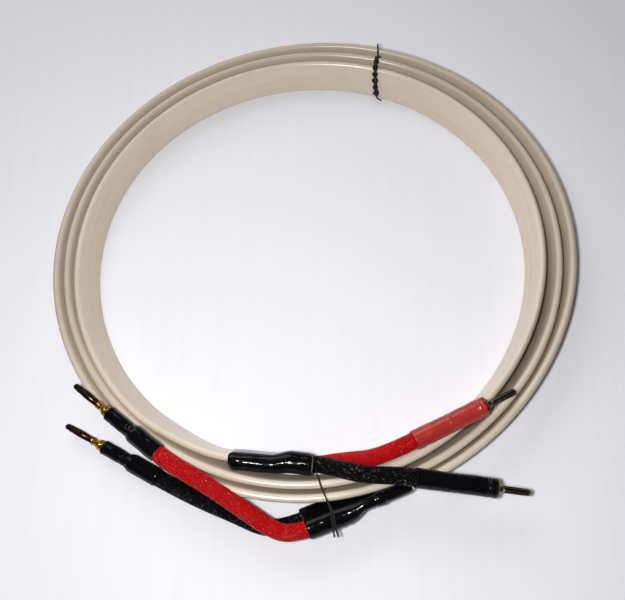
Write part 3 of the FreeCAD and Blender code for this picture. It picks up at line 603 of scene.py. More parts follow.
def braided_yarn(name, tint, dark):
    """PET monofilament yarn: hard, smooth and shiny, so that each crossing glints."""
    material, tree, shader, place = new_finish(name, {"IOR": 1.57})
    worn = between(tree, clouds(tree, place, 260.0, 4.0, 0.6), 0.35, 0.7, 0.0, 0.4)
    # The yarn's filaments are drawn at 0.25 mm, about their real size
    filaments = clouds(tree, place, 4000.0, 1.0)
    # Only some crossings glint, where the yarn lies flat
    flat = clouds(tree, place, 700.0, 1.0)
    tree.links.new(between(tree, flat, 0.56, 0.66, 0.04, 0.9), shader.inputs["Specular IOR Level"])
    tint = blend(tree, worn, colour(tint), colour(dark))
    wired(tree, shader, tint, between(tree, filaments, 0.3, 0.7, 0.08, 0.18), filaments, 0.00008)
    return material


def plated(name, tint, stain, low, high):
    """Turned and plated metal: stains darken and dull it, and fine pits break its shine.

    Its roughness is low where it is clean and high where it is stained.
    """
    material, tree, shader, place = new_finish(name, {"Metallic": 1.0})
    stained = between(tree, clouds(tree, place, 420.0, 5.0, 0.65), 0.42, 0.72)
    tint = blend(tree, stained, colour(tint), colour(stain))
    wired(tree, shader, tint, between(tree, stained, 0.0, 1.0, low, high), clouds(tree, place, 3000.0, 2.0), 0.00003)
    return material


def waxed_thread():
    """Waxed cotton thread: dull black with fuzz and a faint waxy glint."""
    material, tree, shader, place = new_finish("waxed_black_thread", {})
    fuzz = clouds(tree, place, 5200.0, 3.0, 0.7)
    tint = blend(tree, between(tree, fuzz, 0.5, 0.8), colour("thread"), colour("#303032"))
    wired(tree, shader, tint, between(tree, fuzz, 0.3, 0.7, 0.45, 0.75), fuzz, 0.0001)
    return material


def hot_melt():
    """Hot-melt glue from a heat-shrink's lining: olive, waxy and lumpy."""
    material, tree, shader, place = new_finish("olive_hot_melt_glue", {})
    lumps = clouds(tree, place, 900.0, 3.0)
    dark = [part * 0.35 for part in colour("glue")[:3]]
    tint = blend(tree, between(tree, lumps, 0.35, 0.65), (*dark, 1.0), colour("glue"))
    wired(tree, shader, tint, between(tree, lumps, 0.3, 0.7, 0.35, 0.6), lumps, 0.0003)
    return material


def painted_board():
    """White-painted board: matt, with faint brush grain."""
    material, tree, shader, place = new_finish("white_painted_board", {"Specular IOR Level": 0.25, "Roughness": 0.7})
    grain = clouds(tree, stretched(tree, place, (260.0, 9.0, 1.0)), 1.0, 4.0, 0.6)
    grain = between(tree, grain, 0.3, 0.7, 0.985, 1.012)
    grey = add(tree, "ShaderNodeCombineColor", {0: grain, 1: grain, 2: grain})
    tree.links.new(blend(tree, 1.0, colour("floor"), grey.outputs[0], "MULTIPLY"), shader.inputs["Base Color"])
    # Past the lamps' reach the board is seen pale, as the rest of the room would light it
    distance = add(tree, "ShaderNodeVectorMath", {0: place}, operation="LENGTH").outputs["Value"]
    seen = tree.nodes.new("ShaderNodeLightPath").outputs["Is Camera Ray"]
    pale = add(tree, "ShaderNodeEmission", {"Color": colour("floor"), "Strength": PALE})
    beyond = sums(tree, "MULTIPLY", between(tree, distance, PALE_FROM, PALE_PAST), seen)
    whole = add(tree, "ShaderNodeMixShader", {0: beyond, 1: shader, 2: pale})
    end = next(node for node in tree.nodes if node.type == "OUTPUT_MATERIAL")
    tree.links.new(whole.outputs[0], end.inputs["Surface"])
    return material


FINISHES = {}


def finish(name):
    """One of the cable's finishes, made when it is first asked for."""
    makers = {
        "jacket": (extruded_pvc,),
        "black_shrink": (shrunk_tube, "black_heat_shrink", "black", 0.10, 0.17, 0.2),
        "red_shrink": (shrunk_tube, "red_heat_shrink", "red", 0.24, 0.32, 0.6),
        "red_braid": (braided_yarn, "red_pet_braid", "braid_red", "#6B0508"),
        "black_braid": (braided_yarn, "black_pet_braid", "braid_black", "#050506"),
        # The linings are painted dark, as shade in the gaps of the braid
        "red_lining": (braided_yarn, "red_sleeve_lining", "#330303", "#1A0000"),
        "black_lining": (braided_yarn, "black_sleeve_lining", "#030303", "#000000"),
        "gold": (plated, "gold_plated_brass", "gold", "#3D260F", 0.18, 0.34),
        "tarnished": (plated, "tarnished_brass", "tarnish", "#0A0908", 0.28, 0.4),
        "stained": (plated, "stained_brass", "#7A613D", "#2E2114", 0.3, 0.5),
        "nickel": (plated, "rolled_nickel", "nickel", "#241C14", 0.12, 0.24),
        "thread": (waxed_thread,),
        "glue": (hot_melt,),
    }
    if name not in FINISHES:
        maker, *given = makers[name]
        FINISHES[name] = maker(*given)
    return FINISHES[name]


def finished(name, mesh, nodes, body=CABLE_BODY):
    """A piece in its place, riding on its body in place of the solids that it stands for."""
    item = put_in_scene(name, mesh)
    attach(item, body)
    if nodes:
        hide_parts(*nodes)
    return item


# The jacket

JACKET_STEP = 4.0
# Over this length past a boot the jacket eases from the lean at its end to its own
EASING_LENGTH = 55.0
# The jacket's face from rim to rim
FACE_LENGTH = 21.0
# Inside a boot the jacket is cut off this far below its middle
PARED_EDGE = 9.05


def winding_point(turned, sizes):
    """The middle of the jacket after the winding has turned this far from its inner end."""
    angle = WINDING_START - turned
    turns = turned / (2 * math.pi)
    radius = sizes.mean_radius + sizes.turn_growth * turns
    # The turns lie off the coil's centre, and are a little oval
    radius += (-2.3 + 1.6 * turns) * math.cos(angle) - 8.2 * math.sin(angle)
    radius += 1.8 * math.cos(2 * angle) + 3.0 * math.sin(2 * angle)
    # Each turn has settled a little off the even spiral, but not where the boots hold it
    settled = -1.0 + 0.5 * turns + 1.2 * math.cos(angle)
    settled += turns * (0.45 * math.cos(2 * angle) + 0.3 * math.sin(angle))
    settled += (0.9 + 1.45 * turns) * max(0.0, -math.sin(angle)) ** 6
    # At the near right each turn bulges out or in a little, as the photo has it
    for place, shift in ((0.84, 1.3), (1.74, 1.2), (2.74, -1.2)):
        settled += shift * math.exp(-((turns - place) / 0.085) ** 2)
    radius += settled * smooth_step(turned) * smooth_step(WINDING_SWEEP - turned)
    # The spline runs a little inside its control points
    radius /= (1 + math.cos(math.pi / POINTS_PER_TURN)) / 2
    return at((radius * math.cos(angle), radius * math.sin(angle), 0.0))


def lean_there(point):
    """How far the jacket leans outwards in each direction from the coil's centre, as the photo has it."""
    angle = math.atan2(point.y - COIL_CENTRE.y, point.x - COIL_CENTRE.x)
    rise = 7.9 - 1.3 * math.cos(angle) + 0.5 * math.sin(angle) + 1.6 * math.sin(2 * angle)
    return math.asin(rise / FACE_LENGTH)


def jacket_line(sizes):
    """The jacket's middle line at floor level, from the inner boot to the outer one."""
    steps = math.ceil(WINDING_SWEEP / (2 * math.pi) * POINTS_PER_TURN)
    route = [at(INNER_BOOT_START + INNER_BOOT_OUT * reach) for reach in (HELD_IN_BOOT, 0.0)]
    route.append(at((-65.0, -133.0, 0.0)))
    route += [winding_point(WINDING_SWEEP * step / steps, sizes) for step in range(steps + 1)]
    route.append(at(OUTER_BOOT_START + OUTER_BOOT_OUT * HELD_IN_BOOT))
    return evenly(route_line(route), JACKET_STEP * MM)


def stance(along, from_centre, lean):
    """The leaning jacket's directions outwards and up, and its middle's height in millimetres."""
    sizes = bpy.context.scene.flat_cable
    outwards = along.cross(Vector((0, 0, 1))).normalized()
    if outwards.dot(from_centre) < 0:
        outwards.negate()
    up = Vector((0, 0, math.cos(lean))) + outwards * math.sin(lean)
    wide, tall = sizes.thickness / 2 - sizes.edge, sizes.width / 2 - sizes.edge
    return outwards, up, tall * math.cos(lean) + wide * math.sin(lean) + sizes.edge - sizes.foot


class CABLE_OT_jacket(bpy.types.Operator):
    """Sweep the leaning flat jacket along the coil"""
    bl_idname = "flat_cable.jacket"
    bl_label = "Flat jacket"

    def execute(self, context):
        sizes = context.scene.flat_cable
        line = jacket_line(sizes)
        outline = rounded_outline(sizes.thickness / 2, sizes.width / 2, sizes.edge)
        total, walked, rings, middles = line_length(line), 0.0, [], []
        for index, (point, along) in enumerate(zip(line, directions(line))):
            walked += (point - line[max(index - 1, 0)]).length
            from_end = min(walked, total - walked) / MM - HELD_IN_BOOT
            free = smooth_step(from_end / EASING_LENGTH)
            lean = sizes.end_lean + (lean_there(point) - sizes.end_lean) * free
            outwards, up, height = stance(along, point - COIL_CENTRE, lean)
            across = outwards * math.cos(lean) - Vector((0, 0, math.sin(lean)))
            middle = point + Vector((0, 0, height * MM))
            middles.append(middle)
            low = -PARED_EDGE if from_end < 0 else -sizes.width
            ring = []
            for u, v in outline:
                place = middle + (across * u + up * max(v, low)) * MM
                place.z = max(place.z, 0.0)
                ring.append(place)
            rings.append(ring)
        mesh = skin("jacket", rings, finish("jacket"))
        nodes = ["flat_jacket", "red_core_1", "red_core_2", "black_core_1", "black_core_2"]
        jacket = finished("jacket", mesh, nodes)
        return {"FINISHED"}


# Boots

# The film round the pared jacket: its top and foot from the jacket's middle, half its width and its corners
FILM_TOP, FILM_FOOT = 11.0, 9.1
FILM_HALF, FILM_CORNER = 2.3, 2.2
# Half the distance between the two legs
LEG_OFFSET = 5.05
# Over this length a boot goes over from the jacket's outline to the legs'
CHANGE_LENGTH = 12.0
DRAWN_LENGTH = 1.4
CALM_LENGTH = 3.0
BOOT_ROWS = 60
# The least heights over the board of a boot's outside and of its inside
OUTSIDE_FOOT, INSIDE_FOOT = 0.05, 0.4
SLEEVE_LAP = 4.0


def boot_frame(start, out):
    """A boot's frame: Z along the cable, Y up the leaning jacket."""
    _, up, height = stance(out, start, bpy.context.scene.flat_cable.end_lean)
    frame_matrix = Matrix((up.cross(out), up, out)).transposed().to_4x4()
    frame_matrix.translation = at(start + Vector((0, 0, height)))
    return frame_matrix


def boot_section(height, boot, offset):
    """A boot's outline at a height: round the pared jacket at first, round the two legs at last."""
    share = smooth_step((height - boot["flat"]) / CHANGE_LENGTH)
    past = height - boot["flat"] - CHANGE_LENGTH
    bend = max(0.0, past) / (boot["length"] - boot["flat"] - CHANGE_LENGTH)
    half = boot["half"] + offset
    # The film grips the jacket at its start, and stands off it from there on
    loose = smooth_step((height + 1.0) / 4.0)
    swollen = boot["swell"] * loose
    flat = (boot["lie"] * loose, (FILM_TOP - FILM_FOOT) / 2, 0.0, FILM_HALF + offset + swollen,
            (FILM_TOP + FILM_FOOT) / 2 + offset + 0.3 * swollen, FILM_CORNER + offset + swollen)
    legs = (boot["sway"] * bend, boot["rise"], boot["turn"], half, LEG_OFFSET + half, half - 0.3)
    sway, shift, turn, wide, tall, radius = (a + (b - a) * share for a, b in zip(flat, legs))
    turn = math.radians(turn)
    points = []
    for x, y in rounded_outline(wide, tall, min(radius, wide - 0.01)):
        # The film sinks a little between the two legs
        x *= 1.0 - boot["valley"] * share * math.exp(-(y / 2.6) ** 2)
        points.append(Vector((
            sway + x * math.cos(turn) - y * math.sin(turn), shift + x * math.sin(turn) + y * math.cos(turn), height,
        )))
    return points


def boot_mesh(name, boot, material, begin, end, base):
    """A boot's wall between two heights; base gives how far off the jacket it lies there."""
    wall = bpy.context.scene.flat_cable_boots.wall
    heights = [begin + (end - begin) * step / BOOT_ROWS for step in range(BOOT_ROWS + 1)]
    place = boot_frame(boot["start"], boot["out"])
    rings = []
    for side, order in ((1, heights), (-1, heights[::-1])):
        for height in order:
            # The film's ends draw in
            drawn = smooth_step(1.0 - min(height - begin, end - height) / DRAWN_LENGTH)
            offset = 0.1 + base(height) + (wall * (1.0 - 0.6 * drawn) if side > 0 else 0.0)
            ring = boot_section(height, boot, offset)
            if side > 0:
                middle = sum(ring, Vector()) / len(ring)
                for point in ring:
                    away = (point - middle).normalized()
                    ripple = noise.noise(Vector((point.x, point.y, height * 0.45)) * 0.22 + boot["seed"])
                    fine = noise.noise(Vector((point.x, point.y, height)) * 0.55 + boot["seed"])
                    calm = min(1.0, (height - begin) / CALM_LENGTH, (end - height) / CALM_LENGTH)
                    point += away * (0.3 * ripple + 0.08 * fine) * max(calm, 0.15)
            ring = [place @ (point * MM) for point in ring]
            # What would reach below the board lies flat on it
            for point in ring:
                point.z = max(point.z, (OUTSIDE_FOOT if side > 0 else INSIDE_FOOT) * MM)
            rings.append(ring)
    return skin(name, rings, material, ends="joined")


# Each boot: where it starts and points, where its legs part, how long it is, how far it sways, rises, turns,
# sinks between the legs and swells, half its legs' width, how far it lies over, and its ripples' seed
INNER_BOOT = {
    "start": INNER_BOOT_START, "out": INNER_BOOT_OUT, "flat": 24.0, "length": 48.0, "sway": -0.5, "rise": 0.5,
    "turn": INNER_EXIT_LEAN - END_LEAN, "valley": 0.03, "swell": 2.5, "half": 5.9, "lie": -1.3,
    "seed": Vector((3.1, 0.4, 7.7)),
}
OUTER_BOOT = {
    "start": OUTER_BOOT_START, "out": OUTER_BOOT_OUT, "flat": 28.0, "length": 63.5, "sway": -0.6, "rise": -0.5,
    "turn": END_LEAN - OUTER_EXIT_LEAN, "valley": 0.03, "swell": 0.6, "half": 5.5, "lie": 0.0,
    "seed": Vector((9.2, 5.3, 1.8)),
}


class CABLE_OT_boots(bpy.types.Operator):
    """Shrink the boots on the jacket's ends and the legs"""
    bl_idname = "flat_cable.boots"
    bl_label = "Boots"

    def execute(self, context):
        sizes = context.scene.flat_cable_boots
        inner, sleeve = sizes.inner_length, sizes.sleeve_length

        def over_sleeve(height):
            return (sizes.wall + 0.1) * (1.0 - smooth_step((height - sleeve) / 2.5))

        # Each film: its boot, finish, start, end and distance from what it grips, and the solid that it stands for
        films = {
            "inner_boot_film": (INNER_BOOT, "black_shrink", 0.0, inner, lambda height: 0.0, ["inner_boot"]),
            "inner_boot_glue": (INNER_BOOT, "glue", inner - 2.0, inner + 0.7, lambda height: -0.35, []),
            "outer_sleeve_film": (OUTER_BOOT, "black_shrink", 0.0, sleeve, lambda height: 0.0, ["outer_boot_sleeve"]),
            "outer_boot_film": (
                OUTER_BOOT, "black_shrink", sleeve - SLEEVE_LAP, sizes.outer_length, over_sleeve, ["outer_boot"],
            ),
        }
        for name, (boot, material, begin, end, base, nodes) in films.items():
            finished(name, boot_mesh(name, boot, finish(material), begin, end, base), nodes)
        return {"FINISHED"}


# Legs

YARN_THICKNESS = 0.34
YARN_STEP = 0.24
# How far a yarn weaves to each side of its mean radius, and how far that and the lining lie inside the braid
WEAVE = 0.26
YARN_INSET = 0.3
LINING_INSET = 0.6


def leg_place(leg):
    """The frame of a leg's plug: X along the plug from the start of its heat-shrink."""
    turn = Matrix.Rotation(math.radians(leg["azimuth"]), 4, "Z")
    tip = Matrix.Rotation(math.radians(-leg["pitch"]), 4, "Y")
    return Matrix.Translation(at(leg["root"])) @ turn @ tip


def leg_line(leg):
    """A leg's middle line from inside its boot to inside its plug."""
    exit_point, out = Vector(leg["exit"]), Vector(leg["out"])
    axis = leg_place(leg).to_3x3() @ Vector((1, 0, 0))
    root = Vector(leg["root"])
    route = [exit_point - out * BRAID_IN_BOOT, exit_point, exit_point + out * EXIT_STRAIGHT]
    route += [Vector(point) for point in leg["route"]]
    route += [root - axis * BRAID_STRAIGHT, root, root + axis * HELD_IN_PLUG]
    return evenly(route_line([at(point) for point in route]), LEG_STEP * MM)


class CABLE_OT_braids(bpy.types.Operator):
    """Braid the four legs round their conductors"""
    bl_idname = "flat_cable.braids"
    bl_label = "Braided legs"

    def execute(self, context):
        sizes = context.scene.flat_cable_legs
        tree = strands_tree()
        for name, leg in LEGS.items():
            line = leg_line(leg)
            # The braid swells and pinches a little along a leg
            girths = [
                1.0 + 0.03 * noise.noise(Vector((index * 0.03, 0.0, float(len(name)))))
                for index in range(len(line))
            ]
            length = line_length(line) / MM
            turns = length / sizes.pitch
            values = {
                "Yarns": sizes.carriers, "Width": sizes.ribbon * MM, "Thickness": YARN_THICKNESS * MM,
                "Radius": (sizes.diameter / 2 - YARN_INSET) * MM, "Samples": round(length / YARN_STEP),
                "Crossings": 2 * math.pi * sizes.carriers * turns, "Material": finish(f"{leg['pole']}_braid"),
            }
            meshes = []
            for hand in (1, -1):
                values.update({"Turns": hand * turns, "Weave": hand * WEAVE * MM})
                meshes.append(grown(tree, path_mesh(line, girths), values))
            # A sleeve under the yarns gives the gaps between them a ground, painted darker than the yarn as shade in
            # the gaps
            radii = [(sizes.diameter / 2 - LINING_INSET) * girth * MM for girth in girths]
            meshes.append(skin("sleeve_lining", round_rings(line, radii, 20), finish(f"{leg['pole']}_lining")))
            braid = finished(f"{name}_sleeving", joined(f"{name}_sleeving", meshes),
                             [f"{name}_braid", f"{name}_lead"])
        return {"FINISHED"}


# Plugs

def turned(name, profile, place, material, segments=40, ends="joined"):
    """A piece turned about X from (x, radius) pairs in millimetres."""
    rings = [
        [place @ (Vector((x, radius * y, radius * z)) * MM) for y, z in circle(segments)] for x, radius in profile
    ]
    return skin(name, rings, material, ends)


def eased(profile, steps=8):
    """A profile with smooth bends through its points."""
    padded = [profile[0], *profile, profile[-1]]
    points = []
    for a, b, c, d in zip(padded, padded[1:], padded[2:], padded[3:]):
        for step in range(steps):
            t = step / steps
            points.append(tuple(
                0.5 * (2 * q + (r - p) * t + (2 * p - 5 * q + 4 * r - s) * t * t + (3 * q - p - 3 * r + s) * t ** 3)
                for p, q, r, s in zip(a, b, c, d)
            ))
    return [*points, profile[-1]]


SHRINK_OUTLINES = {
    "slim": ((0.0, 5.55), (1.0, 5.62), (6.0, 5.6), (10.0, 5.5), (14.0, 5.62), (17.5, 5.55), (19.2, 4.95),
             (20.6, 4.3), (22.0, 4.12), (23.0, 4.24), (24.0, 4.1), (26.0, 4.3), (30.0, 4.3), (34.0, 4.26),
             (36.6, 4.28), (37.3, 4.2), (37.5, 4.05)),
    "stout": ((0.0, 5.6), (1.0, 5.68), (5.0, 5.62), (9.0, 5.66), (14.0, 5.6), (17.5, 5.55), (19.5, 5.5),
              (22.0, 5.5), (23.0, 5.62), (24.0, 5.48), (28.0, 5.62), (34.0, 5.62), (39.5, 5.62), (40.3, 5.78),
              (41.1, 5.46), (42.0, 5.76), (42.9, 5.46), (44.6, 5.62), (45.3, 5.5), (45.5, 5.35)),
}


class CABLE_OT_plug_shrinks(bpy.types.Operator):
    """Shrink the four tubes that hold the plugs on their legs"""
    bl_idname = "flat_cable.plug_shrinks"
    bl_label = "Plug heat-shrinks"

    def execute(self, context):
        wall = context.scene.flat_cable_boots.shrink_wall
        for number, (name, leg) in enumerate(LEGS.items()):
            place = leg_place(leg)
            outer = eased(SHRINK_OUTLINES[leg["plug"]])
            inner = [(x, radius - wall) for x, radius in outer[::-1]]
            red = name == "inner_red"
            film = finish("red_shrink" if red else "black_shrink")
            mesh = turned(f"{name}_shrink_film", outer + inner, place, film, segments=56)
            axis = (place.to_3x3() @ Vector((1, 0, 0))).normalized()
            seed = Vector((number * 3.7, 1.3, 2.9))
            for vertex in mesh.vertices:
                reach = vertex.co - place.translation
                away = reach - axis * reach.dot(axis)
                soft = noise.noise(vertex.co / MM * 0.16 + seed)
                fine = noise.noise(vertex.co / MM * 0.5 + seed)
                vertex.co += away.normalized() * (0.2 * soft + 0.06 * fine) * MM
            finished(f"{name}_shrink_film", mesh, [f"{name}_plug_shrink"])
        return {"FINISHED"}


def leaf_mesh(stations, half_angle, wall, material):
    """One curved leaf about X: stations are (x, outer radius), in millimetres."""
    angles = [half_angle * (-1 + 2 * step / LEAF_COLUMNS) for step in range(LEAF_COLUMNS + 1)]
    outline = [(angle, 0.0) for angle in angles] + [(angle, wall) for angle in angles[::-1]]
    rings = [[
        Vector((x, (radius - depth) * math.sin(angle), (radius - depth) * math.cos(angle))) * MM
        for angle, depth in outline
    ] for x, radius in stations]
    return skin("leaf", rings, material)


def ring_of_leaves(leaf, count, place):
    """A leaf repeated round the axis of a plug."""
    leaves = grown(ring_tree(), leaf, {"Leaves": count})
    leaves.transform(place)
    return leaves


def legs_with(plug):
    """The names and the plugs' places of the legs with one kind of plug."""
    return [(name, leg_place(leg)) for name, leg in LEGS.items() if leg["plug"] == plug]


LEAF_COLUMNS = 5
# The bands at a cage's ends, how far its leaves lie under them, their least radius and the gap between two
CAGE_BAND = 1.5
LEAF_LAP = 0.3
LEAF_RADIUS = 1.93
LEAF_GAP = 0.5
CAGE_WALL, PIN_WALL = 0.3, 0.45
SLIM_BODY = (
    (36.0, 0.2), (36.0, 3.1), (37.6, 3.25), (37.75, 3.3), (38.9, 3.3), (39.0, 3.12), (39.3, 3.12), (39.4, 3.3),
    (40.1, 3.3), (40.3, 3.2), (42.3, 2.25), (42.6, 2.05), (43.0, 2.05), (43.05, 1.9), (43.4, 1.9), (43.45, 2.05),
    (43.8, 2.1), (43.9, 2.35), (44.05, 2.4), (44.6, 2.4), (44.7, 2.2), (44.95, 2.2), (45.05, 2.4), (45.85, 2.4),
    (46.0, 2.25), (46.0, 1.45),
)
SLIM_STEM = ((45.9, 0.1), (45.9, 1.45), (61.0, 1.45), (61.0, 0.1))
SLIM_HEAD = (
    (60.8, 0.1), (60.8, 1.45), (61.0, 1.45), (61.0, 1.6), (61.15, 1.72), (61.4, 1.75), (62.9, 1.75), (63.4, 1.68),
    (63.8, 1.5), (64.1, 1.2), (64.3, 0.9), (64.4, 0.5), (64.4, 0.1),
)


class CABLE_OT_slim_plugs(bpy.types.Operator):
    """Turn the outer plugs' gold bodies and hang their spring cages on them"""
    bl_idname = "flat_cable.slim_plugs"
    bl_label = "Slim plugs"

    def execute(self, context):
        sizes = context.scene.flat_cable_plugs
        leaf_start, leaf_end = CAGE_START + CAGE_BAND, CAGE_END - CAGE_BAND

        def bowed(x):
            share = (x - leaf_start) / (leaf_end - leaf_start)
            return LEAF_RADIUS + sizes.bulge * math.sin(math.pi * share) ** 1.3

        reach = leaf_end - leaf_start + 2 * LEAF_LAP
        stations = [leaf_start - LEAF_LAP + reach * step / 16 for step in range(17)]
        stations = [(x, bowed(min(max(x, leaf_start), leaf_end))) for x in stations]
        half_angle = math.pi / sizes.leaves - LEAF_GAP / 2 / PIN_RADIUS
        for name, place in legs_with("slim"):
            gold = turned("gold", SLIM_BODY, place, finish("gold"), ends="caps")
            stem = turned("stem", SLIM_STEM, place, finish("stained"), ends="caps")
            head = turned("head", SLIM_HEAD, place, finish("tarnished"), ends="caps")
            body = joined(f"{name}_gold_body", [gold, stem, head])
            finished(f"{name}_gold_body", body, [f"{name}_plug_body"])
            leaf = leaf_mesh(stations, half_angle, CAGE_WALL, finish("tarnished"))
            meshes = [ring_of_leaves(leaf, sizes.leaves, place @ Matrix.Rotation(CAGE_TURN, 4, "X"))]
            for begin, end in ((CAGE_START, leaf_start), (leaf_end, CAGE_END)):
                band = (
                    (begin, 1.6), (begin, 1.9), (begin + 0.12, PIN_RADIUS), (end - 0.12, PIN_RADIUS), (end, 1.9),
                    (end, 1.6),
                )
                meshes.append(turned("band", band, place, finish("tarnished")))
            cage = joined(f"{name}_leaf_cage", meshes)
            finished(f"{name}_leaf_cage", cage, [f"{name}_spring_cage"], f"{name}_cage")
        return {"FINISHED"}


class CABLE_OT_stout_plugs(bpy.types.Operator):
    """Dress the inner plugs' rims and roll their slotted pins"""
    bl_idname = "flat_cable.stout_plugs"
    bl_label = "Stout plugs"

    def execute(self, context):
        sizes = context.scene.flat_cable_plugs
        # The leaves start a little inside the band, bow out along the pin and turn in at its end
        leaf_start = SLIT_START - 0.2
        reach = PIN_END - SLIT_START
        stations = []
        for step in range(15):
            x = leaf_start + (reach + 0.2) * step / 14
            bow = 0.1 * math.sin(math.pi * min(1.0, (x - leaf_start) / reach))
            stations.append((x, PIN_RADIUS + bow - 0.22 * smooth_step((x - PIN_END + 1.2) / 1.2)))
        half_angle = math.pi / sizes.pin_leaves - sizes.slit / 2 / PIN_RADIUS
        band_start = RIM_END - 4.9
        band = (
            (band_start, 1.5), (band_start, 1.85), (RIM_END, 1.85), (RIM_END + 0.1, PIN_RADIUS),
            (SLIT_START, PIN_RADIUS), (SLIT_START, 1.55),
        )
        for name, place in legs_with("stout"):
            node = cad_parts[f"{name}_plug_body"]
            node.data.materials.clear()
            node.data.materials.append(finish("stained"))
            leaf = leaf_mesh(stations, half_angle, PIN_WALL, finish("nickel"))
            leaves = ring_of_leaves(leaf, sizes.pin_leaves, place)
            meshes = [leaves, turned("band", band, place, finish("nickel"))]
            finished(f"{name}_leaf_pin", joined(f"{name}_leaf_pin", meshes), [f"{name}_rolled_pin"])
        return {"FINISHED"}


# Ties

FAR_TIE = (
    (47.5, 149.9, 6.0), (47.6, 150.6, 13.0), (47.6, 150.0, 21.9), (47.3, 143.4, 21.6), (47.0, 137.0, 21.8),
    (45.6, 132.6, 22.4), (45.0, 128.6, 20.5), (45.2, 126.0, 16.5), (45.4, 122.6, 11.5), (46.4, 118.4, 5.5),
    (47.4, 117.0, 1.6), (50.6, 116.6, 0.7),
)
# The thread is doubled and twisted into a hard knot where it leaves the rims
FAR_KNOT = (
    (47.0, 137.4, 22.4), (45.6, 132.8, 22.9), (45.0, 128.6, 20.6), (45.2, 126.0, 16.5), (45.4, 122.6, 11.5),
    (46.2, 119.0, 6.5), (46.6, 118.0, 4.6),
)
NEAR_TIE = (
    (4.2, -150.4, 18.3), (4.7, -152.0, 21.7), (6.4, -158.2, 21.6), (9.4, -164.6, 21.7), (11.3, -170.0, 22.2),
    (12.5, -176.0, 22.6), (13.2, -181.8, 21.4), (13.7, -184.9, 18.8),
)
# A second strand beside it holds the boot
NEAR_TAIL = (
    (9.8, -165.4, 21.5), (12.4, -170.0, 22.4), (13.8, -176.0, 22.6), (14.4, -181.6, 21.4), (16.2, -184.8, 18.6),
)


THREAD_STEP = 0.5
PLY_STEP = 0.3
KNOT_PLIES, KNOT_TWIST, KNOT_RADIUS, KNOT_PLY = 2, 9.0, 1.25, 1.7


class CABLE_OT_ties(bpy.types.Operator):
    """Lay the two thread ties over the turns"""
    bl_idname = "flat_cable.ties"
    bl_label = "Ties"

    def execute(self, context):
        sizes = context.scene.flat_cable_ties
        tree = strands_tree()

        def twisted(route, plies, twist, radius, ply, swelling=0.0):
            line = evenly(route_line([at(point) for point in route]), THREAD_STEP * MM)
            length = line_length(line)
            girths = [1.0 + swelling * noise.noise(Vector((index * 0.16, 4.2, 0.0))) for index in range(len(line))]
            return line, grown(tree, path_mesh(line, girths), {
                "Yarns": plies, "Turns": length / MM / twist, "Radius": radius * MM, "Weave": 0.0,
                "Width": ply * MM, "Thickness": ply * MM, "Samples": round(length / MM / PLY_STEP),
                "Material": finish("thread"),
            })

        thin = (3, sizes.twist, sizes.diameter * 0.24, sizes.diameter * 0.52)
        for name, route, ending in (("far_tie", FAR_TIE, "knot"), ("near_tie", NEAR_TIE, "bare")):
            line, mesh = twisted(route, *thin)
            thread = finished(f"{name}_thread", joined(f"{name}_thread", [mesh]), [name])
            if name == "far_tie":
                extra = twisted(FAR_KNOT, KNOT_PLIES, KNOT_TWIST, KNOT_RADIUS, KNOT_PLY, swelling=0.5)[1]
            else:
                extra = twisted(NEAR_TAIL, *thin)[1]
            finished(f"{name}_{ending}", joined(f"{name}_{ending}", [extra]), [])
        return {"FINISHED"}


# Stage

FLOOR_REACH = 4.0
# The board lies this far under the coil, so that the two never share a surface
FLOOR_DROP = 0.0002
EYE = (1.632, -233.35, 488.0)
SENSOR_WIDTH = 36.0


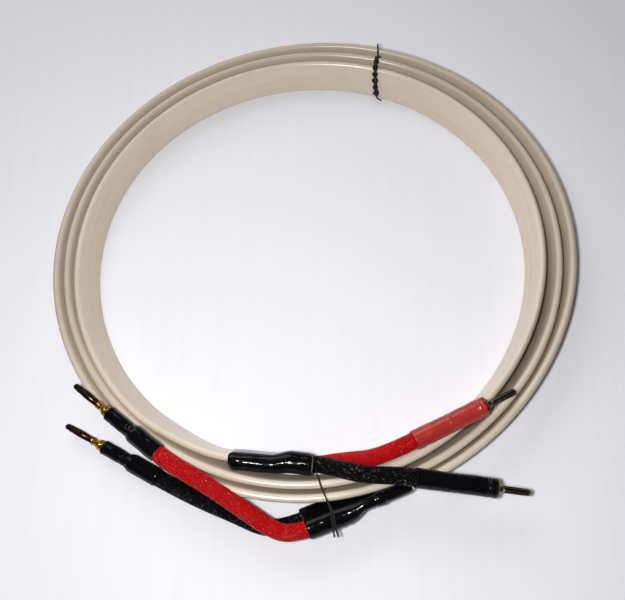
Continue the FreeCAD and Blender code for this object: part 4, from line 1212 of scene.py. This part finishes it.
class CABLE_OT_stage(bpy.types.Operator):
    """Set the floor, the lamps, the surroundings and the camera"""
    bl_idname = "flat_cable.stage"
    bl_label = "Floor, light and camera"

    def execute(self, context):
        settings = context.scene.flat_cable_stage
        mesh = bpy.data.meshes.new("floor")
        corner_signs = ((-1, -1), (1, -1), (1, 1), (-1, 1))
        mesh.from_pydata([(x * FLOOR_REACH, y * FLOOR_REACH, 0) for x, y in corner_signs], [], [(0, 1, 2, 3)])
        mesh.materials.append(painted_board())
        floor = put_in_scene("floor", mesh)
        floor.location.z = -FLOOR_DROP

        eye = at(EYE)
        camera = bpy.data.cameras.new("camera")
        camera.lens = settings.lens
        camera.sensor_width = SENSOR_WIDTH
        stand = put_in_scene("camera", camera)
        stand.location = eye
        stand.rotation_euler = (math.pi / 2 - settings.depression, 0.0, 0.0)
        context.scene.camera = stand

        lamps = (
            ("key", eye + Vector((-0.05, 0.0, 0.0)), 0.04, 0.04, settings.key),
            ("soft", Vector((-0.5, 0.85, 0.8)), 1.2, 0.8, settings.soft),
        )
        for name, place, wide, tall, power in lamps:
            lamp = bpy.data.lights.new(name, "AREA")
            lamp.shape = "RECTANGLE"
            lamp.size = wide
            lamp.size_y = tall
            lamp.energy = power
            stand = put_in_scene(name, lamp)
            stand.location = place
            stand.rotation_euler = (-place).to_track_quat("-Z", "Y").to_euler()

        world = bpy.data.worlds.new("surroundings")
        world.use_nodes = True
        tree = world.node_tree
        background = next(node for node in tree.nodes if node.type == "BACKGROUND")
        way = add(tree, "ShaderNodeSeparateXYZ", {0: tree.nodes.new("ShaderNodeTexCoord").outputs["Generated"]})
        # What gloss mirrors is white at the horizon and dim overhead, so that it stays dark from above
        ray = tree.nodes.new("ShaderNodeLightPath").outputs
        horizon = between(tree, way.outputs["Z"], 0.02, 0.10, 1.0, settings.fill)
        seen = settings.fill
        for kind, strength in (("Is Glossy Ray", horizon), ("Is Camera Ray", PALE)):
            seen = add(tree, "ShaderNodeMix", {"Factor": ray[kind], 2: seen, 3: strength}, data_type="FLOAT")
        background.inputs["Color"].default_value = colour("floor")
        tree.links.new(seen.outputs[0], background.inputs["Strength"])
        context.scene.world = world
        context.scene.view_settings.view_transform = "Standard"
        return {"FINISHED"}


OPERATORS = (
    CABLE_OT_jacket, CABLE_OT_boots, CABLE_OT_plug_shrinks, CABLE_OT_slim_plugs, CABLE_OT_stout_plugs,
    CABLE_OT_braids, CABLE_OT_ties, CABLE_OT_stage,
)


class CABLE_PT_panel(bpy.types.Panel):
    """Sizes, colours and pieces of the cable"""
    bl_idname = "CABLE_PT_panel"
    bl_label = "Flat speaker cable"
    bl_space_type = "VIEW_3D"
    bl_region_type = "UI"
    bl_category = "Cable"

    def draw(self, context):
        for name, group in GROUPS.items():
            box = self.layout.box()
            for label in group.__annotations__:
                box.prop(getattr(context.scene, name), label)
        for operator in OPERATORS:
            self.layout.operator(operator.bl_idname)


def register():
    for item in (*GROUPS.values(), *OPERATORS, CABLE_PT_panel):
        bpy.utils.register_class(item)
    for name, group in GROUPS.items():
        setattr(bpy.types.Scene, name, PointerProperty(type=group))


def unregister():
    for name in GROUPS:
        delattr(bpy.types.Scene, name)
    for item in reversed((*GROUPS.values(), *OPERATORS, CABLE_PT_panel)):
        bpy.utils.unregister_class(item)


def corners(bounds):
    return [[float(value) for value in corner] for corner in bounds]


def main():
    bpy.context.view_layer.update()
    register()
    for operator in OPERATORS:
        module, name = operator.bl_idname.split(".")
        getattr(getattr(bpy.ops, module), name)()


if __name__ == "__main__":
    main()
